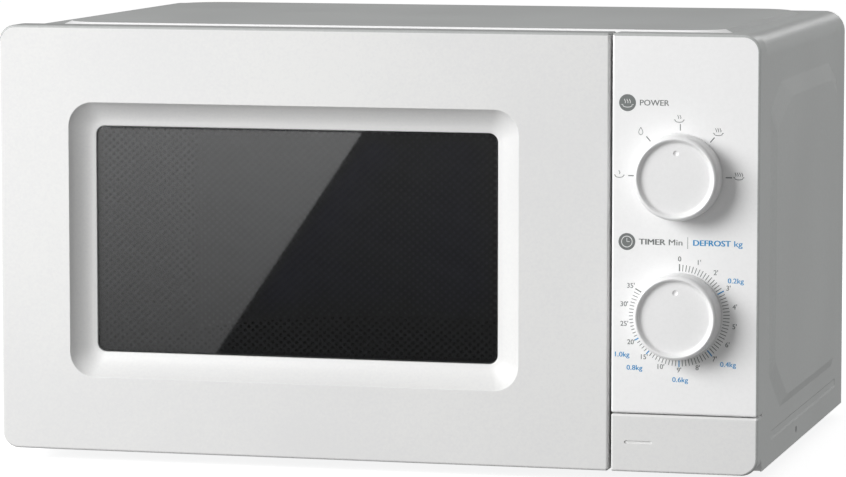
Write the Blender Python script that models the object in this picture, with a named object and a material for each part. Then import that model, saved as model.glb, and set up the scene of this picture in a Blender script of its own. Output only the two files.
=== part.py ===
"""Counter-top microwave oven with two dials and a push-button door.

A painted steel cover wraps a steel cooking box. The door hangs on two pins at the left, the works
stand in the space to the right of the cooking box, behind the control panel. Sizes are in metres.
+Z is up, the front faces -Y, and the origin is on the floor under the middle of the oven.
"""

import math

import bmesh
import bpy
from mathutils import Matrix, Vector

# ---- Driving dimensions ----------------------------------------------------------------------

WIDTH = 0.4395                # front frame, side to side
FRAME_HEIGHT = 0.2430         # front frame, without the feet
FRAME_DEPTH = 0.0180          # door and control panel, front to back
BODY_DEPTH = 0.3015           # front face to rear panel
FOOT_HEIGHT = 0.0070          # floor to the bottom of the frame
PANEL_WIDTH = 0.0826          # control panel
DOOR_GAP = 0.0016             # between door and control panel
BUTTON_HEIGHT = 0.0322        # door button across the foot of the control panel
BUTTON_GAP = 0.0007           # between button and control panel
CORNER = 0.0095               # corners of the front, seen from the front
SEAM_CORNER = 0.0012          # corners at the seams of the front
EDGE_ROUND = 0.0018           # rounded front edges

SHEET = 0.0008                # pressed steel sheet
CLEAR = 0.0003                # between pieces that touch
COVER_GAP = 0.0006            # front frame to cover
PLATE_GAP = 0.0010            # door to front plate
COVER_INSET = 0.0012          # cover sides behind the frame's sides
COVER_DROP = 0.0014           # cover top below the frame's top
COVER_CORNER = 0.0120         # folded corners of the cover
SIDE_EMBOSS = 0.0024          # raised panels pressed in the cover's sides
TOP_EMBOSS = 0.0019           # raised panel pressed in the cover's top
FLANGE_HEIGHT = 0.0100        # turned-up sides of the base plate

CAVITY_SIDE = 0.0250          # frame's left side to the cooking box
LATCH_STRIP = 0.0243          # cooking box to the door's free edge
CAVITY_RISE = 0.0200          # frame's bottom to the cooking box floor
CAVITY_HEADROOM = 0.0180      # cooking box ceiling to the frame's top
CAVITY_BACK_GAP = 0.0095      # cooking box to the rear panel's outside

WINDOW_LEFT = 0.0417          # margins of the window recess in the door
WINDOW_RIGHT = 0.0515
WINDOW_BOTTOM = 0.0428
WINDOW_TOP = 0.0437
WINDOW_CORNER = 0.0140
COVE_WIDTH = 0.0135           # hollow slope from the door's face to the glass
COVE_DEPTH = 0.0085
LIP = 0.0020                  # door face material behind the cove
GLASS_STEP = 0.0045           # hidden rim of the glass behind the lip
GLASS_RIM = 0.0015
DOOR_WALL = 0.0043            # top, bottom and free edge of the door shell
DOOR_STILE = 0.0160           # solid hinge side of the door shell

HINGE_SIDE = 0.0070           # hinge pin to the door's left side
HINGE_BACK = 0.0090           # hinge pin to the door's back
HINGE_HEIGHT = 0.0150         # hinge tongues from the frame's top and bottom
PIN_RADIUS = 0.0025
PIN_LENGTH = 0.0120
TONGUE_HALF = 0.0030
TONGUE = 0.0020

HOOK_INSET = 0.0138           # latch hooks to the door's free edge
HOOK_HALF = 0.0035
HOOK_HEIGHT = 0.0080
BARB = 0.0050
LATCH_HEIGHTS = (0.0620, 0.1820)
LATCH_REACH = 0.0180          # hooks behind the door's back
BUTTON_TRAVEL = 0.0040

KNOB_HEIGHT = 0.0145
KNOB_RADIUS = 0.0238
KNOB_LIFT = 0.0004            # knob skirt off the panel
DIAL_X = 0.0382               # dials from the control panel's left edge
POWER_HEIGHT = 0.1647
TIMER_HEIGHT = 0.0880
SHAFT_RADIUS = 0.0030

TRAY_MARGIN = 0.0135          # tray rim to the nearest cooking box wall
TRAY_THICKNESS = 0.0040
TRAY_RISE = 0.0120
ROLLER_RADIUS = 0.0080
ROLLER_WIDTH = 0.0060
ROLLER_TRACK = 0.0900         # roller circle under the tray
ROLLERS = 3
COUPLER_RADIUS = 0.0140

FAN_RADIUS = 0.0420
FAN_BLADES = 5
BLADE_HALF_WIDTH = 0.0125     # at the blade's tip
BLADE_HALF_THICK = 0.0006
MAGNETRON_DEPTH = 0.1500      # magnetron axis from the front face
MAGNETRON_HEIGHT = 0.1600
FOOT_RADIUS = 0.0120
FOOT_SIDE = 0.0450
FOOT_FRONT = 0.0800
FOOT_REAR = 0.0400
GLAND_PROUD = 0.0025          # cord gland's flange behind the rear panel
LAMP_HEIGHT = 0.2120          # oven lamp above the frame's bottom
COVER_SCREW = 0.1336          # side screws of the cover from the front face

# ---- Places worked out from them -------------------------------------------------------------

LEFT = -WIDTH / 2
RIGHT = WIDTH / 2
FACE = KNOB_HEIGHT - (KNOB_HEIGHT + BODY_DEPTH + GLAND_PROUD) / 2
BACK = FACE + BODY_DEPTH
BOTTOM = FOOT_HEIGHT
TOP = BOTTOM + FRAME_HEIGHT
FRAME_BACK = FACE + FRAME_DEPTH
PANEL_LEFT = RIGHT - PANEL_WIDTH
DOOR_RIGHT = PANEL_LEFT - DOOR_GAP

COVER_FRONT = FRAME_BACK + COVER_GAP
COVER_RIGHT = RIGHT - COVER_INSET
COVER_TOP = TOP - COVER_DROP
INNER_RIGHT = COVER_RIGHT - SHEET - CLEAR
INNER_LEFT = -INNER_RIGHT
INNER_TOP = COVER_TOP - SHEET - CLEAR
INNER_CORNER = COVER_CORNER - SHEET - CLEAR
BASE_BOTTOM = BOTTOM + 0.0004
BASE_TOP = BASE_BOTTOM + SHEET
PLATE_FRONT = FRAME_BACK + PLATE_GAP
PLATE_BACK = PLATE_FRONT + SHEET
STAND = BASE_TOP + CLEAR

CAVITY_LEFT = LEFT + CAVITY_SIDE
CAVITY_RIGHT = DOOR_RIGHT - LATCH_STRIP
CAVITY_FRONT = PLATE_BACK + CLEAR
CAVITY_BACK = BACK - CAVITY_BACK_GAP
FLOOR = BOTTOM + CAVITY_RISE
CEILING = TOP - CAVITY_HEADROOM
TURN_X = (CAVITY_LEFT + CAVITY_RIGHT) / 2
TURN_Y = (CAVITY_FRONT + CAVITY_BACK) / 2
WORKS_LEFT = CAVITY_RIGHT + SHEET + CLEAR
WORKS_X = (WORKS_LEFT + INNER_RIGHT) / 2

LIP_LEFT = LEFT + WINDOW_LEFT + COVE_WIDTH
LIP_RIGHT = DOOR_RIGHT - WINDOW_RIGHT - COVE_WIDTH
LIP_BOTTOM = BOTTOM + WINDOW_BOTTOM + COVE_WIDTH
LIP_TOP = TOP - WINDOW_TOP - COVE_WIDTH
GLASS_FRONT = FACE + COVE_DEPTH
POCKET_FRONT = GLASS_FRONT + LIP
POCKET_LEFT = LEFT + DOOR_STILE
POCKET_RIGHT = DOOR_RIGHT - DOOR_WALL
POCKET_BOTTOM = BOTTOM + DOOR_WALL
POCKET_TOP = TOP - DOOR_WALL
INNER_PANEL_FRONT = POCKET_FRONT + CLEAR + GLASS_RIM + CLEAR
CHOKE_COVER_FRONT = FRAME_BACK - 0.0018

PIVOT_X = LEFT + HINGE_SIDE
PIVOT_Y = FRAME_BACK - HINGE_BACK
HOOK_X = DOOR_RIGHT - HOOK_INSET
HOOK_END = FRAME_BACK + LATCH_REACH
BARB_FRONT = HOOK_END - 0.0050
LATCH_PLATE_X = HOOK_X + HOOK_HALF + 0.0025
STEM_X = PANEL_LEFT + 0.0050
SLIDE_FRONT = HOOK_END + 0.0040
SLIDE_BACK = SLIDE_FRONT + 0.0040
BUTTON_TOP = BOTTOM + BUTTON_HEIGHT
WEB_FRONT = FRAME_BACK - 0.0020
BUTTON_BACK = WEB_FRONT - BUTTON_TRAVEL - CLEAR
DIAL = PANEL_LEFT + DIAL_X

MAGNETRON_Y = FACE + MAGNETRON_DEPTH
MAGNETRON_Z = BOTTOM + MAGNETRON_HEIGHT
GUIDE_RIGHT = WORKS_LEFT + 0.0200
YOKE_LEFT = GUIDE_RIGHT + CLEAR
YOKE_RIGHT = YOKE_LEFT + 0.0500
SHROUD_FRONT = BACK - 0.0335
SHROUD_BACK = BACK - SHEET - CLEAR

# ---- Paints and plastics: colour, roughness, metallic ----------------------------------------

WHITE_PLASTIC = ((0.84, 0.84, 0.84), 0.35, 0.0)
GREY_PAINT = ((0.45, 0.46, 0.455), 0.45, 0.1)
CAVITY_PAINT = ((0.55, 0.56, 0.56), 0.4, 0.1)
STEEL = ((0.55, 0.56, 0.57), 0.35, 1.0)
ALUMINIUM = ((0.75, 0.75, 0.76), 0.35, 1.0)
COPPER = ((0.72, 0.36, 0.18), 0.35, 1.0)
DARK_GLASS = ((0.02, 0.02, 0.022), 0.08, 0.0)
CLEAR_GLASS = ((0.75, 0.8, 0.78), 0.05, 0.0)
MICA = ((0.42, 0.36, 0.26), 0.5, 0.0)
BLACK_PLASTIC = ((0.03, 0.03, 0.03), 0.5, 0.0)
NATURAL_NYLON = ((0.78, 0.76, 0.68), 0.45, 0.0)
RUBBER = ((0.05, 0.05, 0.05), 0.8, 0.0)
BOARD_GREEN = ((0.10, 0.28, 0.14), 0.5, 0.0)
LAMP_GLASS = ((0.9, 0.88, 0.8), 0.1, 0.0)


# ---- Modelling helpers -----------------------------------------------------------------------

def keep(name, shape, look, smooth=True):
    """Turn a bmesh into an object with its own Principled material."""
    bmesh.ops.recalc_face_normals(shape, faces=shape.faces)
    mesh = bpy.data.meshes.new(name)
    shape.to_mesh(mesh)
    shape.free()
    if smooth:
        mesh.shade_smooth()
        mesh.set_sharp_from_angle(angle=math.radians(35))
    colour, roughness, metallic = look
    material = bpy.data.materials.new(name + "_finish")
    material.use_nodes = True
    principled = material.node_tree.nodes["Principled BSDF"]
    principled.inputs["Base Color"].default_value = (*colour, 1.0)
    principled.inputs["Roughness"].default_value = roughness
    principled.inputs["Metallic"].default_value = metallic
    mesh.materials.append(material)
    piece = bpy.data.objects.new(name, mesh)
    bpy.context.scene.collection.objects.link(piece)
    return piece


def at(axis, u, v, along):
    """A point from two coordinates across an axis and one along it."""
    return {"X": (along, u, v), "Y": (u, along, v), "Z": (u, v, along)}[axis]


def lofted(name, rings, look):
    """A closed solid through rings of points, each ring with the same number of points."""
    shape = bmesh.new()
    rows = [[shape.verts.new(point) for point in ring] for ring in rings]
    count = len(rows[0])
    for row, following in zip(rows, rows[1:]):
        for i in range(count):
            j = (i + 1) % count
            shape.faces.new((row[i], row[j], following[j], following[i]))
    shape.faces.new(rows[0])
    shape.faces.new(rows[-1])
    return keep(name, shape, look)


def extruded(name, outline, axis, start, end, look):
    """An outline across an axis, drawn out from start to end along it."""
    return lofted(name, [[at(axis, u, v, along) for u, v in outline] for along in (start, end)], look)


def block(name, low, high, look):
    """A plain box between two corners."""
    outline = [(low[0], low[1]), (high[0], low[1]), (high[0], high[1]), (low[0], high[1])]
    return extruded(name, outline, "Z", low[2], high[2], look)


def turned(name, profile, centre, axis, look, steps=32, closed=False):
    """A profile of (radius, place along the axis), turned round the axis.

    An open profile starts and ends on the axis. A closed one is the section of a ring.
    """
    shape = bmesh.new()
    rows = []
    for radius, along in profile:
        turns = steps if radius > 0 else 1
        angles = [2 * math.pi * i / steps for i in range(turns)]
        row = []
        for angle in angles:
            u = centre[0] + radius * math.cos(angle)
            v = centre[1] + radius * math.sin(angle)
            row.append(shape.verts.new(at(axis, u, v, along)))
        rows.append(row)
    pairs = list(zip(rows, rows[1:]))
    if closed:
        pairs.append((rows[-1], rows[0]))
    for row, following in pairs:
        for i in range(steps):
            j = (i + 1) % steps
            if len(row) == 1:
                shape.faces.new((row[0], following[i], following[j]))
            elif len(following) == 1:
                shape.faces.new((row[i], row[j], following[0]))
            else:
                shape.faces.new((row[i], row[j], following[j], following[i]))
    return keep(name, shape, look)


def rod(name, radius, centre, axis, start, end, look, steps=24):
    """A round bar."""
    return turned(name, [(0, start), (radius, start), (radius, end), (0, end)], centre, axis, look, steps)


def coil(name, radius, wire, turns, centre, axis, start, end, look, steps=8, sides=5):
    """A compression spring: a wire wound round an axis."""
    rings = []
    for i in range(turns * steps + 1):
        angle = 2 * math.pi * i / steps
        along = start + wire + (end - start - 2 * wire) * i / (turns * steps)
        ring = []
        for k in range(sides):
            turn = 2 * math.pi * k / sides
            reach = radius + wire * math.cos(turn)
            u = centre[0] + reach * math.cos(angle)
            v = centre[1] + reach * math.sin(angle)
            ring.append(at(axis, u, v, along + wire * math.sin(turn)))
        rings.append(ring)
    return lofted(name, rings, look)


def rounded(low, high, radii, steps=4):
    """Outline of a rectangle whose corners have radii, from the bottom left one anticlockwise."""
    (left, bottom), (right, top) = low, high
    corners = [(left, bottom, 1, 1), (right, bottom, -1, 1), (right, top, -1, -1), (left, top, 1, -1)]
    outline = []
    for index, ((x, z, across, up), radius) in enumerate(zip(corners, radii)):
        for i in range(steps + 1):
            angle = math.pi + index * math.pi / 2 + i * math.pi / 2 / steps
            u = x + across * radius + radius * math.cos(angle)
            v = z + up * radius + radius * math.sin(angle)
            outline.append((u, v))
    return outline


def shrunk(low, high, radii, inset, steps=4):
    """The same outline drawn in by an inset, or out by a negative one."""
    inner_low = (low[0] + inset, low[1] + inset)
    inner_high = (high[0] - inset, high[1] - inset)
    inner_radii = [max(radius - inset, 0.0002) for radius in radii]
    return rounded(inner_low, inner_high, inner_radii, steps)


def front_block(name, low, high, radii, back, look):
    """A piece of the oven's front with rounded front edges, from the face back to a plane."""
    rings = []
    stages = 3
    for i in range(stages + 1):
        angle = math.pi / 2 * i / stages
        inset = EDGE_ROUND * (1 - math.sin(angle))
        y = FACE + EDGE_ROUND * (1 - math.cos(angle))
        rings.append([(u, y, v) for u, v in shrunk(low, high, radii, inset)])
    rings.append([(u, back, v) for u, v in shrunk(low, high, radii, 0)])
    return lofted(name, rings, look)


def combine(piece, operation, tools):
    for tool in tools:
        modifier = piece.modifiers.new(tool.name, "BOOLEAN")
        modifier.operation = operation
        modifier.object = tool
        tool.hide_render = True
        tool.display_type = "WIRE"
    return piece


def cut(piece, *tools):
    """Take tools away from a piece."""
    return combine(piece, "DIFFERENCE", tools)


def fuse(piece, *tools):
    """Join tools to a piece."""
    return combine(piece, "UNION", tools)


def many(name, solids, look=STEEL):
    """One tool made of several separate shapes, so that one cut makes them all."""
    shape = bmesh.new()
    for solid in solids:
        shape.from_mesh(solid.data)
        bpy.data.objects.remove(solid)
    return keep(name, shape, look)


def pivot(name, place, *pieces):
    """An empty on a joint's axis, with the pieces that move about it as its children."""
    empty = bpy.data.objects.new(name, None)
    empty.location = place
    bpy.context.scene.collection.objects.link(empty)
    for piece in pieces:
        piece.parent = empty
        piece.matrix_parent_inverse = Matrix.Translation(-Vector(place))
    return empty


# ---- Case ------------------------------------------------------------------------------------

def cover_section(inset):
    """The cover's path round the left side, the top and the right side."""
    radius = COVER_CORNER - inset
    side = COVER_RIGHT - inset
    top = COVER_TOP - inset
    path = [(-side, BOTTOM)]
    for turn in (1, 0):
        across = side - radius if turn == 0 else radius - side
        for i in range(7):
            angle = math.pi / 2 * (turn + 1 - i / 6)
            path.append((across + radius * math.cos(angle), top - radius + radius * math.sin(angle)))
    path.append((side, BOTTOM))
    return path


def side_emboss(side):
    """The raised panel on one side of the cover; side is 1 for right and -1 for left."""
    front = COVER_FRONT + 0.0214
    rear = BACK - 0.0320
    low = BOTTOM + 0.0280
    high = TOP - 0.0290
    outer = [
        (front, low + 0.0220), (front + 0.0360, low), (rear - 0.0080, low), (rear, low + 0.0120),
        (rear, high - 0.0120), (rear - 0.0290, high), (front + 0.0320, high), (front, high - 0.0140),
    ]
    inner = [
        (front + 0.0090, low + 0.0290), (front + 0.0480, low + 0.0065), (rear - 0.0140, low + 0.0065),
        (rear - 0.0090, low + 0.0160), (rear - 0.0090, high - 0.0220), (rear - 0.0300, high - 0.0110),
        (front + 0.0600, high - 0.0110), (front + 0.0090, high - 0.0270),
    ]
    base = side * COVER_RIGHT
    rings = [
        [(base - side * SHEET / 2, y, z) for y, z in outer],
        [(base, y, z) for y, z in outer],
        [(base + side * SIDE_EMBOSS, y, z) for y, z in inner],
    ]
    return lofted(f"side_emboss_{'right' if side > 0 else 'left'}", rings, GREY_PAINT)


def top_emboss():
    """The raised panel on top of the cover."""
    margin = 0.0210
    low = (-COVER_RIGHT + margin, COVER_FRONT + 0.0060)
    high = (COVER_RIGHT - margin, BACK - 0.0150)
    radii = (0.0300,) * 4
    rings = []
    for inset, z in ((0, COVER_TOP - SHEET / 2), (0, COVER_TOP), (0.0050, COVER_TOP + TOP_EMBOSS)):
        rings.append([(x, y, z) for x, y in shrunk(low, high, radii, inset, 5)])
    return lofted("top_emboss", rings, GREY_PAINT)


def outer_cover():
    """One sheet folded round the sides and the top, with raised panels and a bead pressed in."""
    section = cover_section(0) + cover_section(SHEET)[::-1]
    cover = extruded("outer_cover", section, "Y", COVER_FRONT, BACK, GREY_PAINT)
    fuse(cover, side_emboss(1), side_emboss(-1), top_emboss())
    for side in (-1, 1):
        base = side * COVER_RIGHT
        low = (COVER_FRONT + 0.0300, BOTTOM + 0.0132)
        high = (BACK - 0.0250, BOTTOM + 0.0188)
        bead = rounded(low, high, (0.0027,) * 4)
        groove = extruded("bead", bead, "X", base - side * 0.0004, base + side * 0.0010, GREY_PAINT)
        screw_place = (FACE + COVER_SCREW, BOTTOM + 0.0074)
        hole = rod("screw_hole", 0.0020, screw_place, "X", base - side * 0.0030, base + side * 0.0030,
                   STEEL, 10)
        cut(cover, groove, hole)
    return cover


def base_plate():
    """Bottom sheet with turned-up sides, and slots that let air out under the works."""
    plate = block("base_plate", (INNER_LEFT, PLATE_FRONT, BASE_BOTTOM), (INNER_RIGHT, BACK, BASE_TOP), STEEL)
    for side in (-1, 1):
        ends = sorted((side * INNER_RIGHT, side * (INNER_RIGHT - SHEET)))
        flange = block("flange", (ends[0], PLATE_BACK + 0.0110, BASE_BOTTOM + SHEET / 2),
                       (ends[1], BACK - 0.0060, BASE_TOP + FLANGE_HEIGHT), STEEL)
        fuse(plate, flange)
    slots = []
    for i in range(6):
        x = WORKS_X - 0.0250 + 0.0100 * i
        slots.append(block("slot", (x - 0.0020, FACE + 0.2050, BOTTOM - 0.0010),
                           (x + 0.0020, FACE + 0.2450, BASE_TOP + 0.0010), STEEL))
    return cut(plate, many("base_slots", slots))


def rear_panel():
    """Back sheet with air inlets behind the fan, steam outlets and the hole for the cord gland."""
    outline = rounded((INNER_LEFT, STAND), (INNER_RIGHT, INNER_TOP),
                      (0.0010, 0.0010, INNER_CORNER, INNER_CORNER))
    panel = extruded("rear_panel", outline, "Y", BACK - SHEET, BACK, GREY_PAINT)
    slots = []
    for i in range(9):
        z = MAGNETRON_Z - 0.0320 + 0.0080 * i
        half = math.sqrt(max((FAN_RADIUS - 0.0040) ** 2 - (z - MAGNETRON_Z) ** 2, 0.0001))
        slots.append(block("slot", (WORKS_X - half, BACK - 0.0030, z - 0.0018),
                           (WORKS_X + half, BACK + 0.0010, z + 0.0018), STEEL))
    for i in range(8):
        x = CAVITY_LEFT + 0.0400 + 0.0100 * i
        slots.append(block("slot", (x - 0.0020, BACK - 0.0030, CEILING - 0.0350),
                           (x + 0.0020, BACK + 0.0010, CEILING - 0.0100), STEEL))
    gland_hole = rod("gland_hole", 0.0063, gland_place(), "Y", BACK - 0.0030, BACK + 0.0010, STEEL)
    return cut(panel, many("rear_slots", slots), gland_hole)


def gland_place():
    return (INNER_RIGHT - 0.0220, BOTTOM + 0.0950)


def cord_gland():
    """Moulded bush that lines the hole where a mains lead would leave the back."""
    front = BACK - SHEET - 0.0060
    profile = [
        (0.0035, front), (0.0060, front), (0.0060, BACK + CLEAR), (0.0090, BACK + CLEAR),
        (0.0085, BACK + GLAND_PROUD), (0.0035, BACK + GLAND_PROUD),
    ]
    return turned("cord_gland", profile, gland_place(), "Y", BLACK_PLASTIC, 20, closed=True)


def foot(number, x, y):
    """Moulded foot pressed into the base plate."""
    top = BASE_BOTTOM - CLEAR
    profile = [
        (0, 0), (FOOT_RADIUS - 0.0020, 0), (FOOT_RADIUS - 0.0010, 0.0010),
        (FOOT_RADIUS, top), (0, top),
    ]
    return turned(f"foot_{number}", profile, (x, y), "Z", RUBBER, 20)


# ---- Cooking box -----------------------------------------------------------------------------

def cavity_shell():
    """Welded steel box, open at the front, with its air, lamp, wave and turntable openings."""
    low = Vector((CAVITY_LEFT, CAVITY_FRONT, FLOOR))
    high = Vector((CAVITY_RIGHT, CAVITY_BACK, CEILING))
    wall = Vector((SHEET, SHEET, SHEET))
    outer_low = low - wall
    outer_low.y = CAVITY_FRONT
    shell = block("cavity_shell", outer_low, high + wall, CAVITY_PAINT)
    inside = block("cavity_inside", low - Vector((0, 0.0100, 0)), high, CAVITY_PAINT)
    turn_hole = rod("turn_hole", 0.0060, (TURN_X, TURN_Y), "Z", FLOOR - 0.0050, FLOOR + 0.0050, STEEL, 16)
    wave_port = block("wave_port", (CAVITY_RIGHT - 0.0050, MAGNETRON_Y - 0.0300, MAGNETRON_Z - 0.0150),
                      (CAVITY_RIGHT + 0.0050, MAGNETRON_Y + 0.0300, MAGNETRON_Z + 0.0150), STEEL)
    holes = []
    for wall_x, y, z in ((CAVITY_RIGHT, FACE + 0.2000, BOTTOM + LAMP_HEIGHT),
                         (CAVITY_LEFT, FACE + 0.0700, BOTTOM + 0.1900)):
        for row in range(3):
            for column in range(3):
                place = (y + 0.0065 * (column - 1), z + 0.0065 * (row - 1))
                holes.append(rod("hole", 0.0022, place, "X", wall_x - 0.0050, wall_x + 0.0050, STEEL, 6))
    return cut(shell, inside, turn_hole, wave_port, many("wall_holes", holes))


def front_plate():
    """Flat steel front of the cooking box, with slots for the hinges, the latch and the button."""
    outline = rounded((INNER_LEFT, STAND), (INNER_RIGHT, INNER_TOP),
                      (0.0010, 0.0010, INNER_CORNER, INNER_CORNER))
    plate = extruded("front_plate", outline, "Y", PLATE_FRONT, PLATE_BACK, CAVITY_PAINT)
    front = PLATE_FRONT - 0.0020
    back = PLATE_BACK + 0.0020
    mouth = rounded((CAVITY_LEFT, FLOOR), (CAVITY_RIGHT, CEILING), (0.0040,) * 4)
    openings = [extruded("mouth", mouth, "Y", front, back, STEEL)]
    openings.append(block("works_mouth", (DIAL - 0.0270, front, BOTTOM + 0.0550),
                          (DIAL + 0.0270, back, BOTTOM + 0.2150), STEEL))
    openings.append(block("stem_mouth", (STEM_X - 0.0045, front, BOTTOM + 0.0085),
                          (STEM_X + 0.0045, back, BOTTOM + 0.0175), STEEL))
    for height in LATCH_HEIGHTS:
        z = BOTTOM + height
        openings.append(block("hook_slot", (HOOK_X - HOOK_HALF - 0.0018, front, z - BARB - 0.0010),
                              (HOOK_X + HOOK_HALF + 0.0020, back, z + HOOK_HEIGHT + BUTTON_TRAVEL + 0.0010),
                              STEEL))
    for z in (BOTTOM + HINGE_HEIGHT, TOP - HINGE_HEIGHT):
        openings.append(block("hinge_slot", (PIVOT_X - TONGUE_HALF - 0.0004, front, z - TONGUE / 2 - 0.0004),
                              (PIVOT_X + TONGUE_HALF + 0.0004, back, z + TONGUE / 2 + 0.0004), STEEL))
    return cut(plate, many("plate_openings", openings))


def hinge(name, z, up):
    """Bracket behind the front plate, with a tongue that holds the door's pin; up is 1 or -1."""
    low_z = z - TONGUE / 2
    high_z = z + TONGUE / 2
    back = PLATE_BACK + CLEAR + 0.0015
    outline = [(PIVOT_X + TONGUE_HALF, back), (PIVOT_X - TONGUE_HALF, back)]
    for i in range(7):
        angle = math.pi + math.pi * i / 6
        outline.append((PIVOT_X + TONGUE_HALF * math.cos(angle), PIVOT_Y + TONGUE_HALF * math.sin(angle)))
    bracket = extruded(name, outline, "Z", low_z, high_z, STEEL)
    flange = block("hinge_flange", (PIVOT_X - TONGUE_HALF + 0.0008, PLATE_BACK + CLEAR, z - 0.0080),
                   (PIVOT_X + 0.0120, back - 0.0001, z + 0.0080), STEEL)
    ends = sorted((z, z + up * PIN_LENGTH))
    pin = rod("hinge_pin", PIN_RADIUS, (PIVOT_X, PIVOT_Y), "Z", ends[0], ends[1], STEEL, 20)
    return fuse(bracket, flange, pin)


def waveguide():
    """Pressed channel that leads the microwaves from the magnetron to the cooking box."""
    low = (WORKS_LEFT, MAGNETRON_Y - 0.0400, MAGNETRON_Z - 0.0350)
    high = (GUIDE_RIGHT, MAGNETRON_Y + 0.0400, MAGNETRON_Z + 0.0350)
    guide = block("waveguide", low, high, STEEL)
    inside = block("guide_inside", (low[0] - 0.0010, low[1] + SHEET, low[2] + SHEET),
                   (high[0] - SHEET, high[1] - SHEET, high[2] - SHEET), STEEL)
    hole = rod("antenna_hole", 0.0100, (MAGNETRON_Y, MAGNETRON_Z), "X", high[0] - 0.0030, high[0] + 0.0010, STEEL)
    return cut(guide, inside, hole)


def waveguide_cover():
    """Mica sheet over the wave port, inside the cooking box."""
    outline = rounded((MAGNETRON_Y - 0.0340, MAGNETRON_Z - 0.0190),
                      (MAGNETRON_Y + 0.0340, MAGNETRON_Z + 0.0190), (0.0030,) * 4)
    right = CAVITY_RIGHT - CLEAR
    return extruded("waveguide_cover", outline, "X", right - 0.0005, right, MICA)


# ---- Microwave source and high-voltage supply ------------------------------------------------

def magnetron_yoke():
    """Steel frame round the magnetron, open front and back for the fan's air."""
    low = (YOKE_LEFT, MAGNETRON_Y - 0.0400, MAGNETRON_Z - 0.0320)
    high = (YOKE_RIGHT, MAGNETRON_Y + 0.0400, MAGNETRON_Z + 0.0320)
    yoke = block("magnetron_yoke", low, high, STEEL)
    inside = block("yoke_inside", (low[0] + 0.0020, low[1] - 0.0010, low[2] + 0.0020),
                   (high[0] - 0.0020, high[1] + 0.0010, high[2] - 0.0020), STEEL)
    hole = rod("yoke_hole", 0.0105, (MAGNETRON_Y, MAGNETRON_Z), "X", low[0] - 0.0010, low[0] + 0.0040, STEEL)
    return cut(yoke, inside, hole)


def magnetron_fins():
    """Anode with its stack of cooling fins."""
    start = YOKE_LEFT + 0.0020 + CLEAR
    end = YOKE_RIGHT - 0.0020 - CLEAR
    anode = rod("magnetron_fins", 0.0180, (MAGNETRON_Y, MAGNETRON_Z), "X", start, end, ALUMINIUM, 16)
    fins = []
    for i in range(6):
        x = start + 0.0080 + i * (end - start - 0.0160) / 5
        fins.append(block("fin", (x - 0.0004, MAGNETRON_Y - 0.0330, MAGNETRON_Z - 0.0280),
                          (x + 0.0004, MAGNETRON_Y + 0.0330, MAGNETRON_Z + 0.0280), ALUMINIUM))
    return fuse(anode, many("fin_stack", fins, ALUMINIUM))


def magnetron_antenna():
    """Domed antenna that stands into the waveguide."""
    base = YOKE_LEFT + 0.0020
    profile = [
        (0, base), (0.0070, base), (0.0070, base - 0.0130), (0.0055, base - 0.0160), (0, base - 0.0175),
    ]
    return turned("magnetron_antenna", profile, (MAGNETRON_Y, MAGNETRON_Z), "X", ALUMINIUM, 20)


def magnetron_filter():
    """Screened box with the magnetron's two terminals."""
    left = YOKE_RIGHT + CLEAR
    box = block("magnetron_filter", (left, MAGNETRON_Y - 0.0250, MAGNETRON_Z - 0.0220),
                (left + 0.0220, MAGNETRON_Y + 0.0250, MAGNETRON_Z + 0.0220), STEEL)
    terminals = []
    for side in (-1, 1):
        y = MAGNETRON_Y + side * 0.0080
        terminals.append(block("terminal", (left + 0.0060, y - 0.0030, MAGNETRON_Z - 0.0300),
                               (left + 0.0068, y + 0.0030, MAGNETRON_Z - 0.0210), STEEL))
    return fuse(box, *terminals)


def transformer_pieces():
    """Laminated core with a primary and a secondary winding round its middle limb."""
    y = FACE + 0.0850
    base = STAND
    core = block("transformer_core", (WORKS_X - 0.0400, y - 0.0220, base),
                 (WORKS_X + 0.0400, y + 0.0220, base + 0.0700), STEEL)
    for side in (-1, 1):
        ends = sorted((WORKS_X + side * 0.0100, WORKS_X + side * 0.0270))
        window = block("core_window", (ends[0], y - 0.0300, base + 0.0160),
                       (ends[1], y + 0.0300, base + 0.0540), STEEL)
        cut(core, window)
    pieces = [core]
    for name, low, high in (("transformer_primary", 0.0165, 0.0335), ("transformer_secondary", 0.0360, 0.0535)):
        outer = rounded((WORKS_X - 0.0265, y - 0.0380), (WORKS_X + 0.0265, y + 0.0380), (0.0120,) * 4)
        inner = rounded((WORKS_X - 0.0105, y - 0.0225), (WORKS_X + 0.0105, y + 0.0225), (0.0002,) * 4)
        winding = extruded(name, outer, "Z", base + low, base + high, COPPER)
        bore = extruded(name + "_bore", inner, "Z", base + low - 0.0010, base + high + 0.0010, COPPER)
        pieces.append(cut(winding, bore))
    return pieces


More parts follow.
